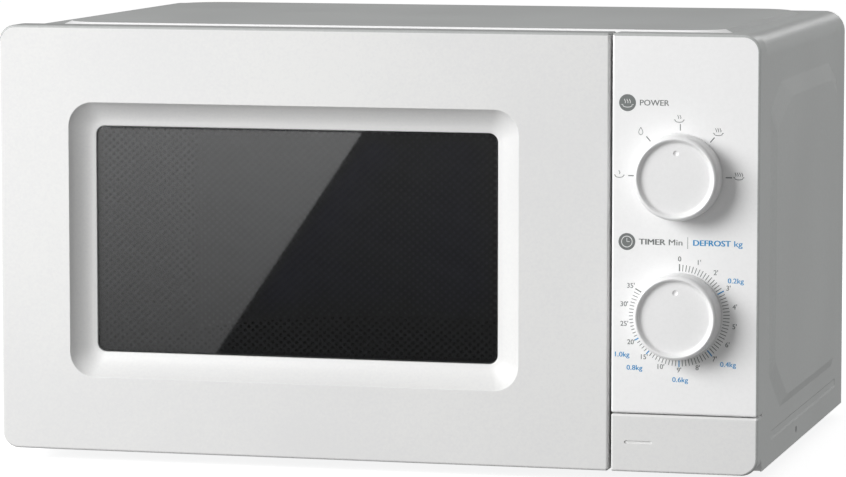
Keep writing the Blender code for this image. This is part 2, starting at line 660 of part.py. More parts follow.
def capacitor_pieces():
    """High-voltage capacitor can, its clamp strap, and the diode beside it."""
    x, y = WORKS_X - 0.0100, FACE + 0.1600
    outline = rounded((x - 0.0260, y - 0.0160), (x + 0.0260, y + 0.0160), (0.0155,) * 4)
    can = extruded("capacitor", outline, "Z", STAND, STAND + 0.0750, ALUMINIUM)
    for side in (-1, 1):
        tab = block("can_tab", (x + side * 0.0120 - 0.0030, y - 0.0004, STAND + 0.0740),
                    (x + side * 0.0120 + 0.0030, y + 0.0004, STAND + 0.0850), STEEL)
        fuse(can, tab)
    reach = CLEAR + 0.0010
    outer = rounded((x - 0.0260 - reach, y - 0.0160 - reach), (x + 0.0260 + reach, y + 0.0160 + reach),
                    (0.0155 + reach,) * 4)
    inner = rounded((x - 0.0260 - CLEAR, y - 0.0160 - CLEAR), (x + 0.0260 + CLEAR, y + 0.0160 + CLEAR),
                    (0.0155 + CLEAR,) * 4)
    strap = extruded("capacitor_strap", outer, "Z", STAND + 0.0200, STAND + 0.0300, STEEL)
    cut(strap, extruded("strap_bore", inner, "Z", STAND + 0.0190, STAND + 0.0310, STEEL))
    leg_x = x + 0.0260 + CLEAR
    leg = block("strap_leg", (leg_x, y - 0.0050, STAND), (leg_x + 0.0010, y + 0.0050, STAND + 0.0250), STEEL)
    foot_tab = block("strap_foot", (leg_x, y - 0.0050, STAND), (leg_x + 0.0120, y + 0.0050, STAND + 0.0010), STEEL)
    fuse(strap, leg, foot_tab)
    diode = rod("hv_diode", 0.0040, (y + 0.0300, STAND + 0.0042), "X", x - 0.0150, x + 0.0090, BLACK_PLASTIC, 12)
    lug = rod("diode_lug", 0.0012, (y + 0.0300, STAND + 0.0042), "X", x + 0.0080, x + 0.0250, STEEL, 6)
    return [can, strap, fuse(diode, lug)]


# ---- Air, lamp, wiring board -----------------------------------------------------------------

def fan_shroud():
    """Square moulded housing round the fan, against the rear panel."""
    half = FAN_RADIUS + 0.0040
    shroud = block("fan_shroud", (WORKS_X - half, SHROUD_FRONT, MAGNETRON_Z - half),
                   (WORKS_X + half, SHROUD_BACK, MAGNETRON_Z + half), NATURAL_NYLON)
    throat = rod("throat", FAN_RADIUS + 0.0015, (WORKS_X, MAGNETRON_Z), "Y", SHROUD_FRONT - 0.0010,
                 SHROUD_BACK + 0.0010, NATURAL_NYLON, 32)
    return cut(shroud, throat)


def fan_motor():
    """Shaded-pole motor on a bar across the front of the shroud."""
    reach = FAN_RADIUS + 0.0020
    motor = block("fan_motor", (WORKS_X - 0.0220, SHROUD_FRONT - 0.0260, MAGNETRON_Z - 0.0200),
                  (WORKS_X + 0.0220, SHROUD_FRONT - 0.0080, MAGNETRON_Z + 0.0200), STEEL)
    bar = block("motor_bar", (WORKS_X - reach, SHROUD_FRONT - 0.0100, MAGNETRON_Z - 0.0050),
                (WORKS_X + reach, SHROUD_FRONT - 0.0070, MAGNETRON_Z + 0.0050), STEEL)
    fuse(motor, bar)
    for side in (-1, 1):
        post = block("motor_post", (WORKS_X + side * (reach - 0.0015) - 0.0015, SHROUD_FRONT - 0.0080,
                                    MAGNETRON_Z - 0.0050),
                     (WORKS_X + side * (reach - 0.0015) + 0.0015, SHROUD_FRONT - CLEAR, MAGNETRON_Z + 0.0050),
                     STEEL)
        fuse(motor, post)
    bore = rod("motor_bore", 0.0024, (WORKS_X, MAGNETRON_Z), "Y", SHROUD_FRONT - 0.0160, SHROUD_FRONT, STEEL, 16)
    return cut(motor, bore)


def fan_blade():
    """Moulded fan on its steel shaft."""
    front = SHROUD_FRONT + 0.0040
    hub = rod("fan_blade", 0.0110, (WORKS_X, MAGNETRON_Z), "Y", front, front + 0.0160, NATURAL_NYLON, 20)
    shaft = rod("fan_shaft", 0.0020, (WORKS_X, MAGNETRON_Z), "Y", SHROUD_FRONT - 0.0150, front + 0.0010, STEEL, 12)
    fuse(hub, shaft)
    centre = Vector((WORKS_X, front + 0.0080, MAGNETRON_Z))
    for i in range(FAN_BLADES):
        spread = Matrix.Rotation(2 * math.pi * i / FAN_BLADES, 4, "Y")
        blade = lofted(f"blade_{i}", blade_rings(centre, spread), NATURAL_NYLON)
        fuse(hub, blade)
    return hub


def blade_rings(centre, spread):
    """Sections of one fan blade from the hub outwards, each pitched less than the one before."""
    rings = []
    tip = math.sqrt(FAN_RADIUS ** 2 - BLADE_HALF_WIDTH ** 2)
    for radius, half_width, pitch in ((0.0090, 0.0070, 50), (0.0250, 0.0110, 38), (tip, BLADE_HALF_WIDTH, 28)):
        ring = []
        for across, thick in ((-1, -1), (1, -1), (1, 1), (-1, 1)):
            flat = Vector((across * half_width, thick * BLADE_HALF_THICK, 0))
            point = Matrix.Rotation(math.radians(pitch), 4, "Z") @ flat + Vector((0, 0, radius))
            ring.append(spread @ point + centre)
        rings.append(ring)
    return rings


def air_duct():
    """Open-ended duct that takes the magnetron's air forward."""
    low = (YOKE_LEFT, MAGNETRON_Y - 0.0860, MAGNETRON_Z - 0.0300)
    high = (YOKE_RIGHT, MAGNETRON_Y - 0.0400 - CLEAR, MAGNETRON_Z + 0.0300)
    duct = block("air_duct", low, high, NATURAL_NYLON)
    bore = block("duct_bore", (low[0] + 0.0012, low[1] - 0.0010, low[2] + 0.0012),
                 (high[0] - 0.0012, high[1] + 0.0010, high[2] - 0.0012), NATURAL_NYLON)
    return cut(duct, bore)


def lamp_pieces():
    """Oven lamp and its holder, beside the holes near the top of the cooking box."""
    x, z = WORKS_LEFT + 0.0100, BOTTOM + LAMP_HEIGHT
    end = FACE + 0.2150
    holder = block("lamp_holder", (x - 0.0090, end, z - 0.0090), (x + 0.0090, end + 0.0160, z + 0.0090), BLACK_PLASTIC)
    profile = [
        (0, end - CLEAR), (0.0060, end - CLEAR), (0.0060, end - 0.0080), (0.0085, end - 0.0140),
        (0.0085, end - 0.0240), (0.0060, end - 0.0290), (0, end - 0.0310),
    ]
    bulb = turned("lamp_bulb", profile, (x, z), "Y", LAMP_GLASS, 16)
    return [holder, bulb]


def thermal_cutout():
    """Disc thermostat on top of the magnetron's frame."""
    base = MAGNETRON_Z + 0.0320 + CLEAR
    place = ((YOKE_LEFT + YOKE_RIGHT) / 2, MAGNETRON_Y)
    profile = [(0, base), (0.0080, base), (0.0080, base + 0.0050), (0.0060, base + 0.0070), (0, base + 0.0070)]
    return turned("thermal_cutout", profile, place, "Z", BLACK_PLASTIC, 20)


def filter_board():
    """Mains filter board on the rear panel, with its choke and capacitor."""
    back = BACK - SHEET - 0.0080
    board = block("filter_board", (WORKS_X - 0.0400, back - 0.0016, BOTTOM + 0.0200),
                  (WORKS_X + 0.0300, back, BOTTOM + 0.0850), BOARD_GREEN)
    choke = rod("choke", 0.0110, (WORKS_X - 0.0200, BOTTOM + 0.0500), "Y", back - 0.0180, back - 0.0010, COPPER, 16)
    can = block("filter_can", (WORKS_X, back - 0.0140, BOTTOM + 0.0300),
                (WORKS_X + 0.0230, back - 0.0010, BOTTOM + 0.0480), BLACK_PLASTIC)
    return fuse(board, choke, can)


# ---- Turntable -------------------------------------------------------------------------------

def turntable_motor():
    """Flat synchronous motor under the cooking box."""
    top = FLOOR - SHEET - CLEAR
    profile = [(0, top - 0.0140), (0.0250, top - 0.0140), (0.0250, top), (0, top)]
    motor = turned("turntable_motor", profile, (TURN_X, TURN_Y), "Z", STEEL, 28)
    bore = rod("motor_socket", 0.0038, (TURN_X, TURN_Y), "Z", top - 0.0100, top + 0.0010, STEEL, 16)
    return cut(motor, bore)


def turntable_coupler():
    """Three-armed driver on the motor's spindle."""
    low = FLOOR + 0.0010
    stem = rod("turntable_coupler", 0.0034, (TURN_X, TURN_Y), "Z", FLOOR - SHEET - 0.0080, low + 0.0050,
               NATURAL_NYLON, 16)
    hub = rod("coupler_hub", 0.0080, (TURN_X, TURN_Y), "Z", low, FLOOR + 0.0160, NATURAL_NYLON, 18)
    fuse(stem, hub)
    for i in range(3):
        spread = Matrix.Rotation(2 * math.pi * i / 3, 4, "Z")
        rings = []
        for radius, half in ((0.0050, 0.0040), (COUPLER_RADIUS, 0.0025)):
            corners = [(-half, FLOOR + 0.0080), (half, FLOOR + 0.0080), (half, FLOOR + 0.0155), (-half, FLOOR + 0.0155)]
            rings.append([spread @ Vector((radius, across, z)) + Vector((TURN_X, TURN_Y, 0))
                          for across, z in corners])
        fuse(stem, lofted(f"coupler_arm_{i}", rings, NATURAL_NYLON))
    return stem


def tray_base():
    return FLOOR + 2 * ROLLER_RADIUS + 2 * CLEAR


def tray_radius():
    return min(CAVITY_RIGHT - CAVITY_LEFT, CAVITY_BACK - CAVITY_FRONT) / 2 - TRAY_MARGIN


def glass_tray():
    """Pressed glass plate with a raised rim and three lugs that the driver's arms push."""
    radius = tray_radius()
    low = tray_base()
    high = low + TRAY_THICKNESS
    profile = [
        (0, low), (radius - 0.0180, low), (radius - 0.0060, low + 0.0060), (radius, low + TRAY_RISE - 0.0010),
        (radius - 0.0010, low + TRAY_RISE), (radius - 0.0060, low + TRAY_RISE - 0.0010),
        (radius - 0.0120, low + 0.0080), (radius - 0.0210, high), (0, high),
    ]
    tray = turned("glass_tray", profile, (TURN_X, TURN_Y), "Z", CLEAR_GLASS, 40)
    for i in range(3):
        spread = Matrix.Rotation(2 * math.pi * (i + 0.5) / 3, 4, "Z")
        rings = []
        for z in (low - 0.0050, low + 0.0010):
            corners = [(0.0095, -0.0030), (COUPLER_RADIUS, -0.0030), (COUPLER_RADIUS, 0.0030), (0.0095, 0.0030)]
            rings.append([spread @ Vector((u, v, z)) + Vector((TURN_X, TURN_Y, 0)) for u, v in corners])
        fuse(tray, lofted(f"tray_lug_{i}", rings, CLEAR_GLASS))
    return tray


def roller_height():
    return FLOOR + CLEAR + ROLLER_RADIUS


def roller_ring():
    """Ring that carries the rollers on short radial stubs."""
    z = roller_height()
    inner = ROLLER_TRACK - 0.0120
    outer = ROLLER_TRACK - 0.0050
    profile = [(inner, z - 0.0025), (outer, z - 0.0025), (outer, z + 0.0025), (inner, z + 0.0025)]
    ring = turned("roller_ring", profile, (TURN_X, TURN_Y), "Z", NATURAL_NYLON, 40, closed=True)
    for i in range(ROLLERS):
        spread = Matrix.Rotation(2 * math.pi * i / ROLLERS, 4, "Z")
        rings = []
        for radius in (outer - 0.0030, ROLLER_TRACK + ROLLER_WIDTH / 2 + 0.0010):
            corners = []
            for k in range(8):
                angle = 2 * math.pi * k / 8
                corners.append(Vector((radius, 0.0012 * math.cos(angle), 0.0012 * math.sin(angle) + z)))
            rings.append([spread @ corner + Vector((TURN_X, TURN_Y, 0)) for corner in corners])
        fuse(ring, lofted(f"stub_{i}", rings, NATURAL_NYLON))
    return ring


def roller(number):
    """One roller, turned round a radial axis."""
    angle = 2 * math.pi * (number - 1) / ROLLERS
    half = ROLLER_WIDTH / 2
    edge = 0.0012
    profile = [
        (0.0016, -half), (ROLLER_RADIUS - edge, -half), (ROLLER_RADIUS, -half + edge),
        (ROLLER_RADIUS, half - edge), (ROLLER_RADIUS - edge, half), (0.0016, half),
    ]
    wheel = turned(f"roller_{number}", profile, (0, 0), "X", NATURAL_NYLON, 20, closed=True)
    place = Vector((TURN_X + ROLLER_TRACK * math.cos(angle), TURN_Y + ROLLER_TRACK * math.sin(angle),
                    roller_height()))
    wheel.data.transform(Matrix.Translation(place) @ Matrix.Rotation(angle, 4, "Z"))
    return wheel, place


# ---- Door ------------------------------------------------------------------------------------

def window_tool():
    """The window recess: a hollow slope from the face down to the glass, then straight through."""
    low = (LEFT + WINDOW_LEFT, BOTTOM + WINDOW_BOTTOM)
    high = (DOOR_RIGHT - WINDOW_RIGHT, TOP - WINDOW_TOP)
    radii = (WINDOW_CORNER,) * 4
    stages = [(0, FACE - 0.0010)]
    steps = 5
    for i in range(steps + 1):
        angle = math.pi / 2 * i / steps
        stages.append((COVE_WIDTH * (1 - math.cos(angle)), FACE + COVE_DEPTH * math.sin(angle)))
    stages.append((COVE_WIDTH, POCKET_FRONT + 0.0010))
    rings = []
    for inset, y in stages:
        radius = WINDOW_CORNER - 0.65 * inset
        outline = rounded((low[0] + inset, low[1] + inset), (high[0] - inset, high[1] - inset), (radius,) * 4)
        rings.append([(u, y, v) for u, v in outline])
    return lofted("window_recess", rings, WHITE_PLASTIC)


def door_frame():
    """Moulded door shell with the window recess, a hollow back and sockets for the hinge pins."""
    radii = (CORNER, SEAM_CORNER, SEAM_CORNER, CORNER)
    frame = front_block("door_frame", (LEFT, BOTTOM), (DOOR_RIGHT, TOP), radii, FRAME_BACK, WHITE_PLASTIC)
    pocket = block("door_pocket", (POCKET_LEFT, POCKET_FRONT, POCKET_BOTTOM),
                   (POCKET_RIGHT, FRAME_BACK + 0.0010, POCKET_TOP), WHITE_PLASTIC)
    swing = HINGE_BACK - 0.0001
    outline = []
    for i in range(9):
        angle = math.pi / 2 * (1 + i / 8)
        outline.append((PIVOT_X + swing * math.cos(angle), PIVOT_Y + swing * math.sin(angle)))
    outline += [(LEFT - 0.0060, PIVOT_Y), (LEFT - 0.0060, FRAME_BACK + 0.0020), (PIVOT_X, FRAME_BACK + 0.0020)]
    swing_corner = extruded("swing_corner", outline, "Z", BOTTOM - 0.0010, TOP + 0.0010, WHITE_PLASTIC)
    cut(frame, window_tool(), pocket, swing_corner)
    for z, up in ((BOTTOM + HINGE_HEIGHT, 1), (TOP - HINGE_HEIGHT, -1)):
        notch = block("hinge_notch", (LEFT - 0.0010, PIVOT_Y - 0.0056, z - TONGUE / 2 - 0.0005),
                      (PIVOT_X + TONGUE_HALF + 0.0014, FRAME_BACK + 0.0010, z + TONGUE / 2 + 0.0005), WHITE_PLASTIC)
        ends = sorted((z, z + up * (PIN_LENGTH + 0.0010)))
        socket = rod("pin_socket", PIN_RADIUS + CLEAR, (PIVOT_X, PIVOT_Y), "Z", ends[0], ends[1], WHITE_PLASTIC, 20)
        cut(frame, notch, socket)
    return frame


def door_glass():
    """Dark window with a hidden rim behind the door shell's lip."""
    low = (LIP_LEFT, LIP_BOTTOM)
    high = (LIP_RIGHT, LIP_TOP)
    radii = (WINDOW_CORNER - 0.65 * COVE_WIDTH,) * 4
    rim_front = POCKET_FRONT + CLEAR
    stages = (
        (CLEAR, GLASS_FRONT), (CLEAR, rim_front), (-GLASS_STEP, rim_front), (-GLASS_STEP, rim_front + GLASS_RIM),
    )
    rings = [[(u, y, v) for u, v in shrunk(low, high, radii, inset)] for inset, y in stages]
    return lofted("door_glass", rings, DARK_GLASS)


def door_inner_panel():
    """Steel screen with its choke wall, which keeps the microwaves in."""
    low = (POCKET_LEFT + 0.0010, POCKET_BOTTOM + 0.0010)
    high = (HOOK_X - HOOK_HALF - 0.0030, POCKET_TOP - 0.0010)
    radii = (0.0040,) * 4
    panel = extruded("door_inner_panel", rounded(low, high, radii), "Y", INNER_PANEL_FRONT,
                     INNER_PANEL_FRONT + SHEET, STEEL)
    back = CHOKE_COVER_FRONT - CLEAR
    wall = extruded("choke_wall", shrunk(low, high, radii, 0.0060), "Y", INNER_PANEL_FRONT + SHEET / 2, back, STEEL)
    bore = extruded("choke_bore", shrunk(low, high, radii, 0.0060 + SHEET), "Y", INNER_PANEL_FRONT + SHEET,
                    back + 0.0010, STEEL)
    fuse(panel, wall)
    return cut(panel, bore)


def choke_cover():
    """Plastic frame snapped into the back of the door, with slots for the latch hooks."""
    low = (POCKET_LEFT + CLEAR, POCKET_BOTTOM + CLEAR)
    high = (POCKET_RIGHT - CLEAR, POCKET_TOP - CLEAR)
    frame = extruded("choke_cover", rounded(low, high, (0.0010,) * 4), "Y", CHOKE_COVER_FRONT, FRAME_BACK,
                     WHITE_PLASTIC)
    opening = rounded((LIP_LEFT - 0.0080, LIP_BOTTOM - 0.0080), (LIP_RIGHT + 0.0080, LIP_TOP + 0.0080),
                      (0.0080,) * 4)
    cuts = [extruded("choke_window", opening, "Y", CHOKE_COVER_FRONT - 0.0010, FRAME_BACK + 0.0010, WHITE_PLASTIC)]
    for height in LATCH_HEIGHTS:
        z = BOTTOM + height
        cuts.append(block("hook_way", (HOOK_X - HOOK_HALF - 0.0010, CHOKE_COVER_FRONT - 0.0010, z - 0.0010),
                          (HOOK_X + HOOK_HALF + 0.0010, FRAME_BACK + 0.0010,
                           z + HOOK_HEIGHT + BUTTON_TRAVEL + 0.0010), WHITE_PLASTIC))
    return cut(frame, many("choke_openings", cuts, WHITE_PLASTIC))


def latch_hook():
    """Sliding bar in the door's free edge with two hooks that reach through the front plate."""
    bar_front = POCKET_FRONT + 0.0006
    bar_back = CHOKE_COVER_FRONT - CLEAR
    low = BOTTOM + LATCH_HEIGHTS[0] - 0.0080
    high = BOTTOM + LATCH_HEIGHTS[-1] + HOOK_HEIGHT + 0.0060
    hook = block("latch_hook", (HOOK_X - HOOK_HALF, bar_front, low), (HOOK_X + HOOK_HALF, bar_back, high),
                 NATURAL_NYLON)
    for number, height in enumerate(LATCH_HEIGHTS):
        z = BOTTOM + height
        outline = [
            (bar_back - 0.0020, z), (BARB_FRONT, z), (BARB_FRONT, z - BARB), (BARB_FRONT + 0.0020, z - BARB),
            (HOOK_END, z), (HOOK_END, z + HOOK_HEIGHT - 0.0020), (HOOK_END - 0.0020, z + HOOK_HEIGHT),
            (bar_back - 0.0020, z + HOOK_HEIGHT),
        ]
        half = HOOK_HALF - 0.0004
        fuse(hook, extruded(f"hook_{number}", outline, "X", HOOK_X - half, HOOK_X + half, NATURAL_NYLON))
    return hook, high


def latch_spring(low):
    """Spring above the latch bar, against the top of the door shell."""
    y = (POCKET_FRONT + CHOKE_COVER_FRONT) / 2
    return coil("latch_spring", 0.0020, 0.0003, 8, (HOOK_X, y), "Z", low + CLEAR, POCKET_TOP - CLEAR, STEEL)


# ---- Latch works -----------------------------------------------------------------------------

def latch_board():
    """Moulded board behind the front plate, with a catch for each hook."""
    board = block("latch_board", (LATCH_PLATE_X, PLATE_BACK + CLEAR, BOTTOM + 0.0450),
                  (LATCH_PLATE_X + 0.0030, FACE + 0.0600, BOTTOM + 0.2100), NATURAL_NYLON)
    for number, height in enumerate(LATCH_HEIGHTS):
        z = BOTTOM + height - BARB - 0.0004
        catch = block(f"catch_{number}", (HOOK_X - HOOK_HALF - 0.0015, PLATE_BACK + 0.0040, z - 0.0070),
                      (LATCH_PLATE_X + 0.0010, BARB_FRONT - 0.0006, z), NATURAL_NYLON)
        fuse(board, catch)
    return board


def microswitch(name, height):
    """Door safety switch on the latch board, with its plunger."""
    left = LATCH_PLATE_X + 0.0030 + CLEAR
    z = BOTTOM + height
    body = block(name, (left, FACE + 0.0240, z - 0.0080), (left + 0.0100, FACE + 0.0520, z + 0.0080), BLACK_PLASTIC)
    plunger = block(name + "_plunger", (left + 0.0035, FACE + 0.0350, z + 0.0070),
                    (left + 0.0065, FACE + 0.0390, z + 0.0095), BLACK_PLASTIC)
    tabs = block(name + "_tab", (left + 0.0045, FACE + 0.0300, z - 0.0140),
                 (left + 0.0053, FACE + 0.0350, z - 0.0070), BLACK_PLASTIC)
    return fuse(body, plunger, tabs)


def ramp_height(y):
    """Top of the button's 45 degree ramp at a place along the oven's depth."""
    return BOTTOM + 0.0240 - (y - SLIDE_FRONT)


def release_slide():
    """Upright slide that the button's ramp lifts; its two fingers lift the hooks."""
    top = BOTTOM + LATCH_HEIGHTS[-1] - BARB - 0.0004
    gap = CLEAR * math.sqrt(2)
    outline = [
        (SLIDE_FRONT, ramp_height(SLIDE_FRONT) + gap), (SLIDE_BACK, ramp_height(SLIDE_BACK) + gap),
        (SLIDE_BACK, top), (SLIDE_FRONT, top),
    ]
    slide = extruded("release_slide", outline, "X", HOOK_X - 0.0030, HOOK_X + 0.0030, NATURAL_NYLON)
    for number, height in enumerate(LATCH_HEIGHTS):
        z = BOTTOM + height - BARB - 0.0004
        finger = block(f"finger_{number}", (HOOK_X - 0.0029, BARB_FRONT, z - 0.0040),
                       (HOOK_X + 0.0029, SLIDE_FRONT + 0.0010, z - 0.00005 * (number + 1)), NATURAL_NYLON)
        fuse(slide, finger)
    return slide


def release_button():
    """Door button with a stem through the front plate and a ramp under the release slide."""
    low = (PANEL_LEFT, BOTTOM)
    high = (RIGHT, BUTTON_TOP)
    radii = (SEAM_CORNER, CORNER, SEAM_CORNER, SEAM_CORNER)
    button = front_block("release_button", low, high, radii, BUTTON_BACK, WHITE_PLASTIC)
    hollow = extruded("button_hollow", shrunk(low, high, radii, 0.0022), "Y", FACE + 0.0025, BUTTON_BACK + 0.0010,
                      WHITE_PLASTIC)
    cut(button, hollow)
    stem = block("button_stem", (STEM_X - 0.0026, FACE + 0.0015, BOTTOM + 0.0102),
                 (STEM_X + 0.0026, SLIDE_BACK + 0.0060, BOTTOM + 0.0154), WHITE_PLASTIC)
    arm = block("button_arm", (HOOK_X - 0.0025, SLIDE_BACK + 0.0010, BOTTOM + 0.0100),
                (STEM_X + 0.0020, SLIDE_BACK + 0.0058, BOTTOM + 0.0140), WHITE_PLASTIC)
    start = SLIDE_FRONT - BUTTON_TRAVEL
    end = SLIDE_BACK + 0.0060
    outline = [
        (start, BOTTOM + 0.0095), (end, BOTTOM + 0.0095), (end, ramp_height(end)), (start, ramp_height(start)),
    ]
    ramp = extruded("button_ramp", outline, "X", HOOK_X - 0.0030, HOOK_X + 0.0030, WHITE_PLASTIC)
    mark = rounded((PANEL_LEFT + 0.0075, BOTTOM + 0.0154), (PANEL_LEFT + 0.0233, BOTTOM + 0.0178), (0.0011,) * 4)
    slot_mark = extruded("slot_mark", mark, "Y", FACE - 0.0010, FACE + 0.0006, WHITE_PLASTIC)
    fuse(button, stem, arm, ramp)
    return cut(button, slot_mark)


def button_spring():
    """Spring between the button and the web behind it."""
    place = ((PANEL_LEFT + RIGHT) / 2, BOTTOM + BUTTON_HEIGHT / 2)
    return coil("button_spring", 0.0040, 0.0004, 5, place, "Y", FACE + 0.0025 + CLEAR, WEB_FRONT - CLEAR, STEEL)


# ---- Control panel ---------------------------------------------------------------------------

def control_panel():
    """Moulded panel with a hollow back, holes for the dial shafts and a web behind the button."""
    low = (PANEL_LEFT, BUTTON_TOP + BUTTON_GAP)
    high = (RIGHT, TOP)
    radii = (SEAM_CORNER, SEAM_CORNER, CORNER, SEAM_CORNER)
    panel = front_block("control_panel", low, high, radii, FRAME_BACK, WHITE_PLASTIC)
    hollow = extruded("panel_hollow", shrunk(low, high, radii, 0.0025), "Y", FACE + 0.0025, FRAME_BACK + 0.0010,
                      WHITE_PLASTIC)
    web = block("button_web", (PANEL_LEFT + 0.0006, WEB_FRONT, BOTTOM + 0.0008),
                (RIGHT - 0.0008, FRAME_BACK - 0.0002, low[1] + 0.0020), WHITE_PLASTIC)
    stem_way = block("stem_way", (STEM_X - 0.0036, WEB_FRONT - 0.0010, BOTTOM + 0.0092),
                     (STEM_X + 0.0036, FRAME_BACK + 0.0010, BOTTOM + 0.0164), WHITE_PLASTIC)
    cut(panel, hollow)
    fuse(panel, web)
    cut(panel, stem_way)
    for height in (POWER_HEIGHT, TIMER_HEIGHT):
        cut(panel, rod("shaft_hole", SHAFT_RADIUS + 0.0015, (DIAL, BOTTOM + height), "Y", FACE - 0.0010,
                       FACE + 0.0040, WHITE_PLASTIC, 20))
    return panel


def dial_unit(name, height, half, depth, drum):
    """A timer or selector behind the panel: a box with a round housing at its back."""
    z = BOTTOM + height
    front = FACE + 0.0025 + CLEAR
    box = block(name, (DIAL - half, front, z - half), (DIAL + half, front + depth, z + half), BLACK_PLASTIC)
    bell = rod(name + "_bell", drum, (DIAL, z), "Y", front + depth - 0.0010, front + depth + 0.0120, STEEL, 20)
    bore = rod(name + "_bore", SHAFT_RADIUS + CLEAR, (DIAL, z), "Y", front - 0.0010, front + 0.0100, STEEL, 16)
    fuse(box, bell)
    return cut(box, bore)


def dial_pieces(name, height):
    """Hollow moulded knob with a dished top and a pointer dimple, and the shaft inside its hub."""
    z = BOTTOM + height
    skirt = FACE - KNOB_LIFT
    dish = FACE - KNOB_HEIGHT + 0.0025
    rim = FACE - KNOB_HEIGHT
    edge = KNOB_RADIUS
    profile = [
        (0, dish - 0.0003), (edge - 0.0055, dish), (edge - 0.0045, dish - 0.0004), (edge - 0.0038, rim + 0.0003),
        (edge - 0.0030, rim), (edge - 0.0020, rim + 0.0006), (edge - 0.0009, rim + 0.0024),
        (edge - 0.0004, rim + 0.0055), (edge, skirt), (edge - 0.0018, skirt), (edge - 0.0022, rim + 0.0060),
        (edge - 0.0060, dish + 0.0016), (0.0058, dish + 0.0016), (0.0055, skirt), (SHAFT_RADIUS + CLEAR, skirt),
        (SHAFT_RADIUS + CLEAR, dish + 0.0020), (0, dish + 0.0020),
    ]
    knob = turned(name + "_knob", profile, (DIAL, z), "Y", WHITE_PLASTIC, 32)
    cut(knob, rod(name + "_dimple", 0.0012, (DIAL, z + 0.0138), "Y", dish - 0.0020, dish + 0.0005, WHITE_PLASTIC, 10))
    shaft = rod(name + "_shaft", SHAFT_RADIUS, (DIAL, z), "Y", dish + 0.0020 + CLEAR, FACE + 0.0110, STEEL, 16)
    return knob, shaft


# ---- Assembly --------------------------------------------------------------------------------

def build():
    for old in list(bpy.data.objects):
        bpy.data.objects.remove(old)

    outer_cover()
    base_plate()
    rear_panel()
    cord_gland()
    number = 0
    for y in (FACE + FOOT_FRONT, BACK - FOOT_REAR):
        for x in (LEFT + FOOT_SIDE, RIGHT - FOOT_SIDE):
            number += 1
            foot(number, x, y)

    cavity_shell()
    front_plate()
    hinge("hinge_lower", BOTTOM + HINGE_HEIGHT, 1)
    hinge("hinge_upper", TOP - HINGE_HEIGHT, -1)
    waveguide()
    waveguide_cover()
    magnetron_yoke()
    magnetron_fins()
    magnetron_antenna()
    magnetron_filter()
    transformer_pieces()
    capacitor_pieces()
    fan_shroud()
    fan_motor()
    air_duct()
    lamp_pieces()
    thermal_cutout()
    filter_board()
    turntable_motor()
    latch_board()
    for name, height in (("lower", 0.0750), ("middle", 0.1200), ("upper", 0.1950)):
        microswitch(f"microswitch_{name}", height)
    control_panel()
    dial_unit("timer_unit", TIMER_HEIGHT, 0.0220, 0.0340, 0.0170)
    dial_unit("power_selector", POWER_HEIGHT, 0.0190, 0.0220, 0.0090)

    hook, hook_top = latch_hook()
    slider = pivot("latch_slide", (HOOK_X, FRAME_BACK, hook_top), hook, latch_spring(hook_top))
    door = pivot("door_hinge", (PIVOT_X, PIVOT_Y, BOTTOM), door_frame(), door_glass(), door_inner_panel(),
                 choke_cover())
    slider.parent = door
    slider.matrix_parent_inverse = Matrix.Translation(-Vector((PIVOT_X, PIVOT_Y, BOTTOM)))
    pivot("button_press", (STEM_X, FACE, BOTTOM + BUTTON_HEIGHT / 2), release_button(), button_spring())
    pivot("slide_lift", (HOOK_X, SLIDE_FRONT, BOTTOM), release_slide())
    for name, height in (("power", POWER_HEIGHT), ("timer", TIMER_HEIGHT)):
        pivot(f"{name}_turn", (DIAL, FACE, BOTTOM + height), *dial_pieces(name, height))
    pivot("fan_spin", (WORKS_X, SHROUD_FRONT, MAGNETRON_Z), fan_blade())
    pivot("turntable_spin", (TURN_X, TURN_Y, FLOOR), turntable_coupler(), glass_tray())
    ring = pivot("ring_spin", (TURN_X, TURN_Y, FLOOR), roller_ring())
    for index in range(ROLLERS):
        wheel, place = roller(index + 1)
        spindle = pivot(f"roller_{index + 1}_spin", place, wheel)
        spindle.parent = ring
        spindle.matrix_parent_inverse = Matrix.Translation(-Vector((TURN_X, TURN_Y, FLOOR)))


build()
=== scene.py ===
import math

import bpy
from mathutils import Matrix, Vector


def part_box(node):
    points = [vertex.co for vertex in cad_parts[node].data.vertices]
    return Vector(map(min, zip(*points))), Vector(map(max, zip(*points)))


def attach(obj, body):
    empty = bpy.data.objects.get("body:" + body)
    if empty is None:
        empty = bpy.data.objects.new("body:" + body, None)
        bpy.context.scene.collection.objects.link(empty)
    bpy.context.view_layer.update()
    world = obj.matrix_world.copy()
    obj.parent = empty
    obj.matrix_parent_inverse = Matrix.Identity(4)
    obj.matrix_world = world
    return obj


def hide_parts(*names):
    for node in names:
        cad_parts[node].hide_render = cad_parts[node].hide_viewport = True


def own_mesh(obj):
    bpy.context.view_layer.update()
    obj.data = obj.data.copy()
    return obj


# Looks of a counter-top microwave oven: white moulded front, painted steel cover, dark window.
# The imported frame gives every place. Sizes are in metres, +Z is up and the front faces -Y.
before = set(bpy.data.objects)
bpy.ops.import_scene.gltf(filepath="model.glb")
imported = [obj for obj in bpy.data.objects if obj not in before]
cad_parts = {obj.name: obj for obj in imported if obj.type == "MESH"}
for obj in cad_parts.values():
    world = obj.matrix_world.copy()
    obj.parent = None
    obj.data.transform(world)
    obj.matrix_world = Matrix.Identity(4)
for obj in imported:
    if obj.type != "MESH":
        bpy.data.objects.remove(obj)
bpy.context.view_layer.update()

# ---- Studio ----------------------------------------------------------------------------------
# A wide pale floor in a white surround, lit by one large soft box at the front left and weaker
# ones at the right and behind; the one at the right lights only the cover and the control panel's
# pieces. The floor shows the oven's shadow but throws no light back on it.

CAMERA_PLACE = Vector((0.62825, -2.47075, 0.380))
CAMERA_YAW = math.radians(14.43)
CAMERA_PITCH = math.radians(5.85)
CAMERA_LENS = 184.2


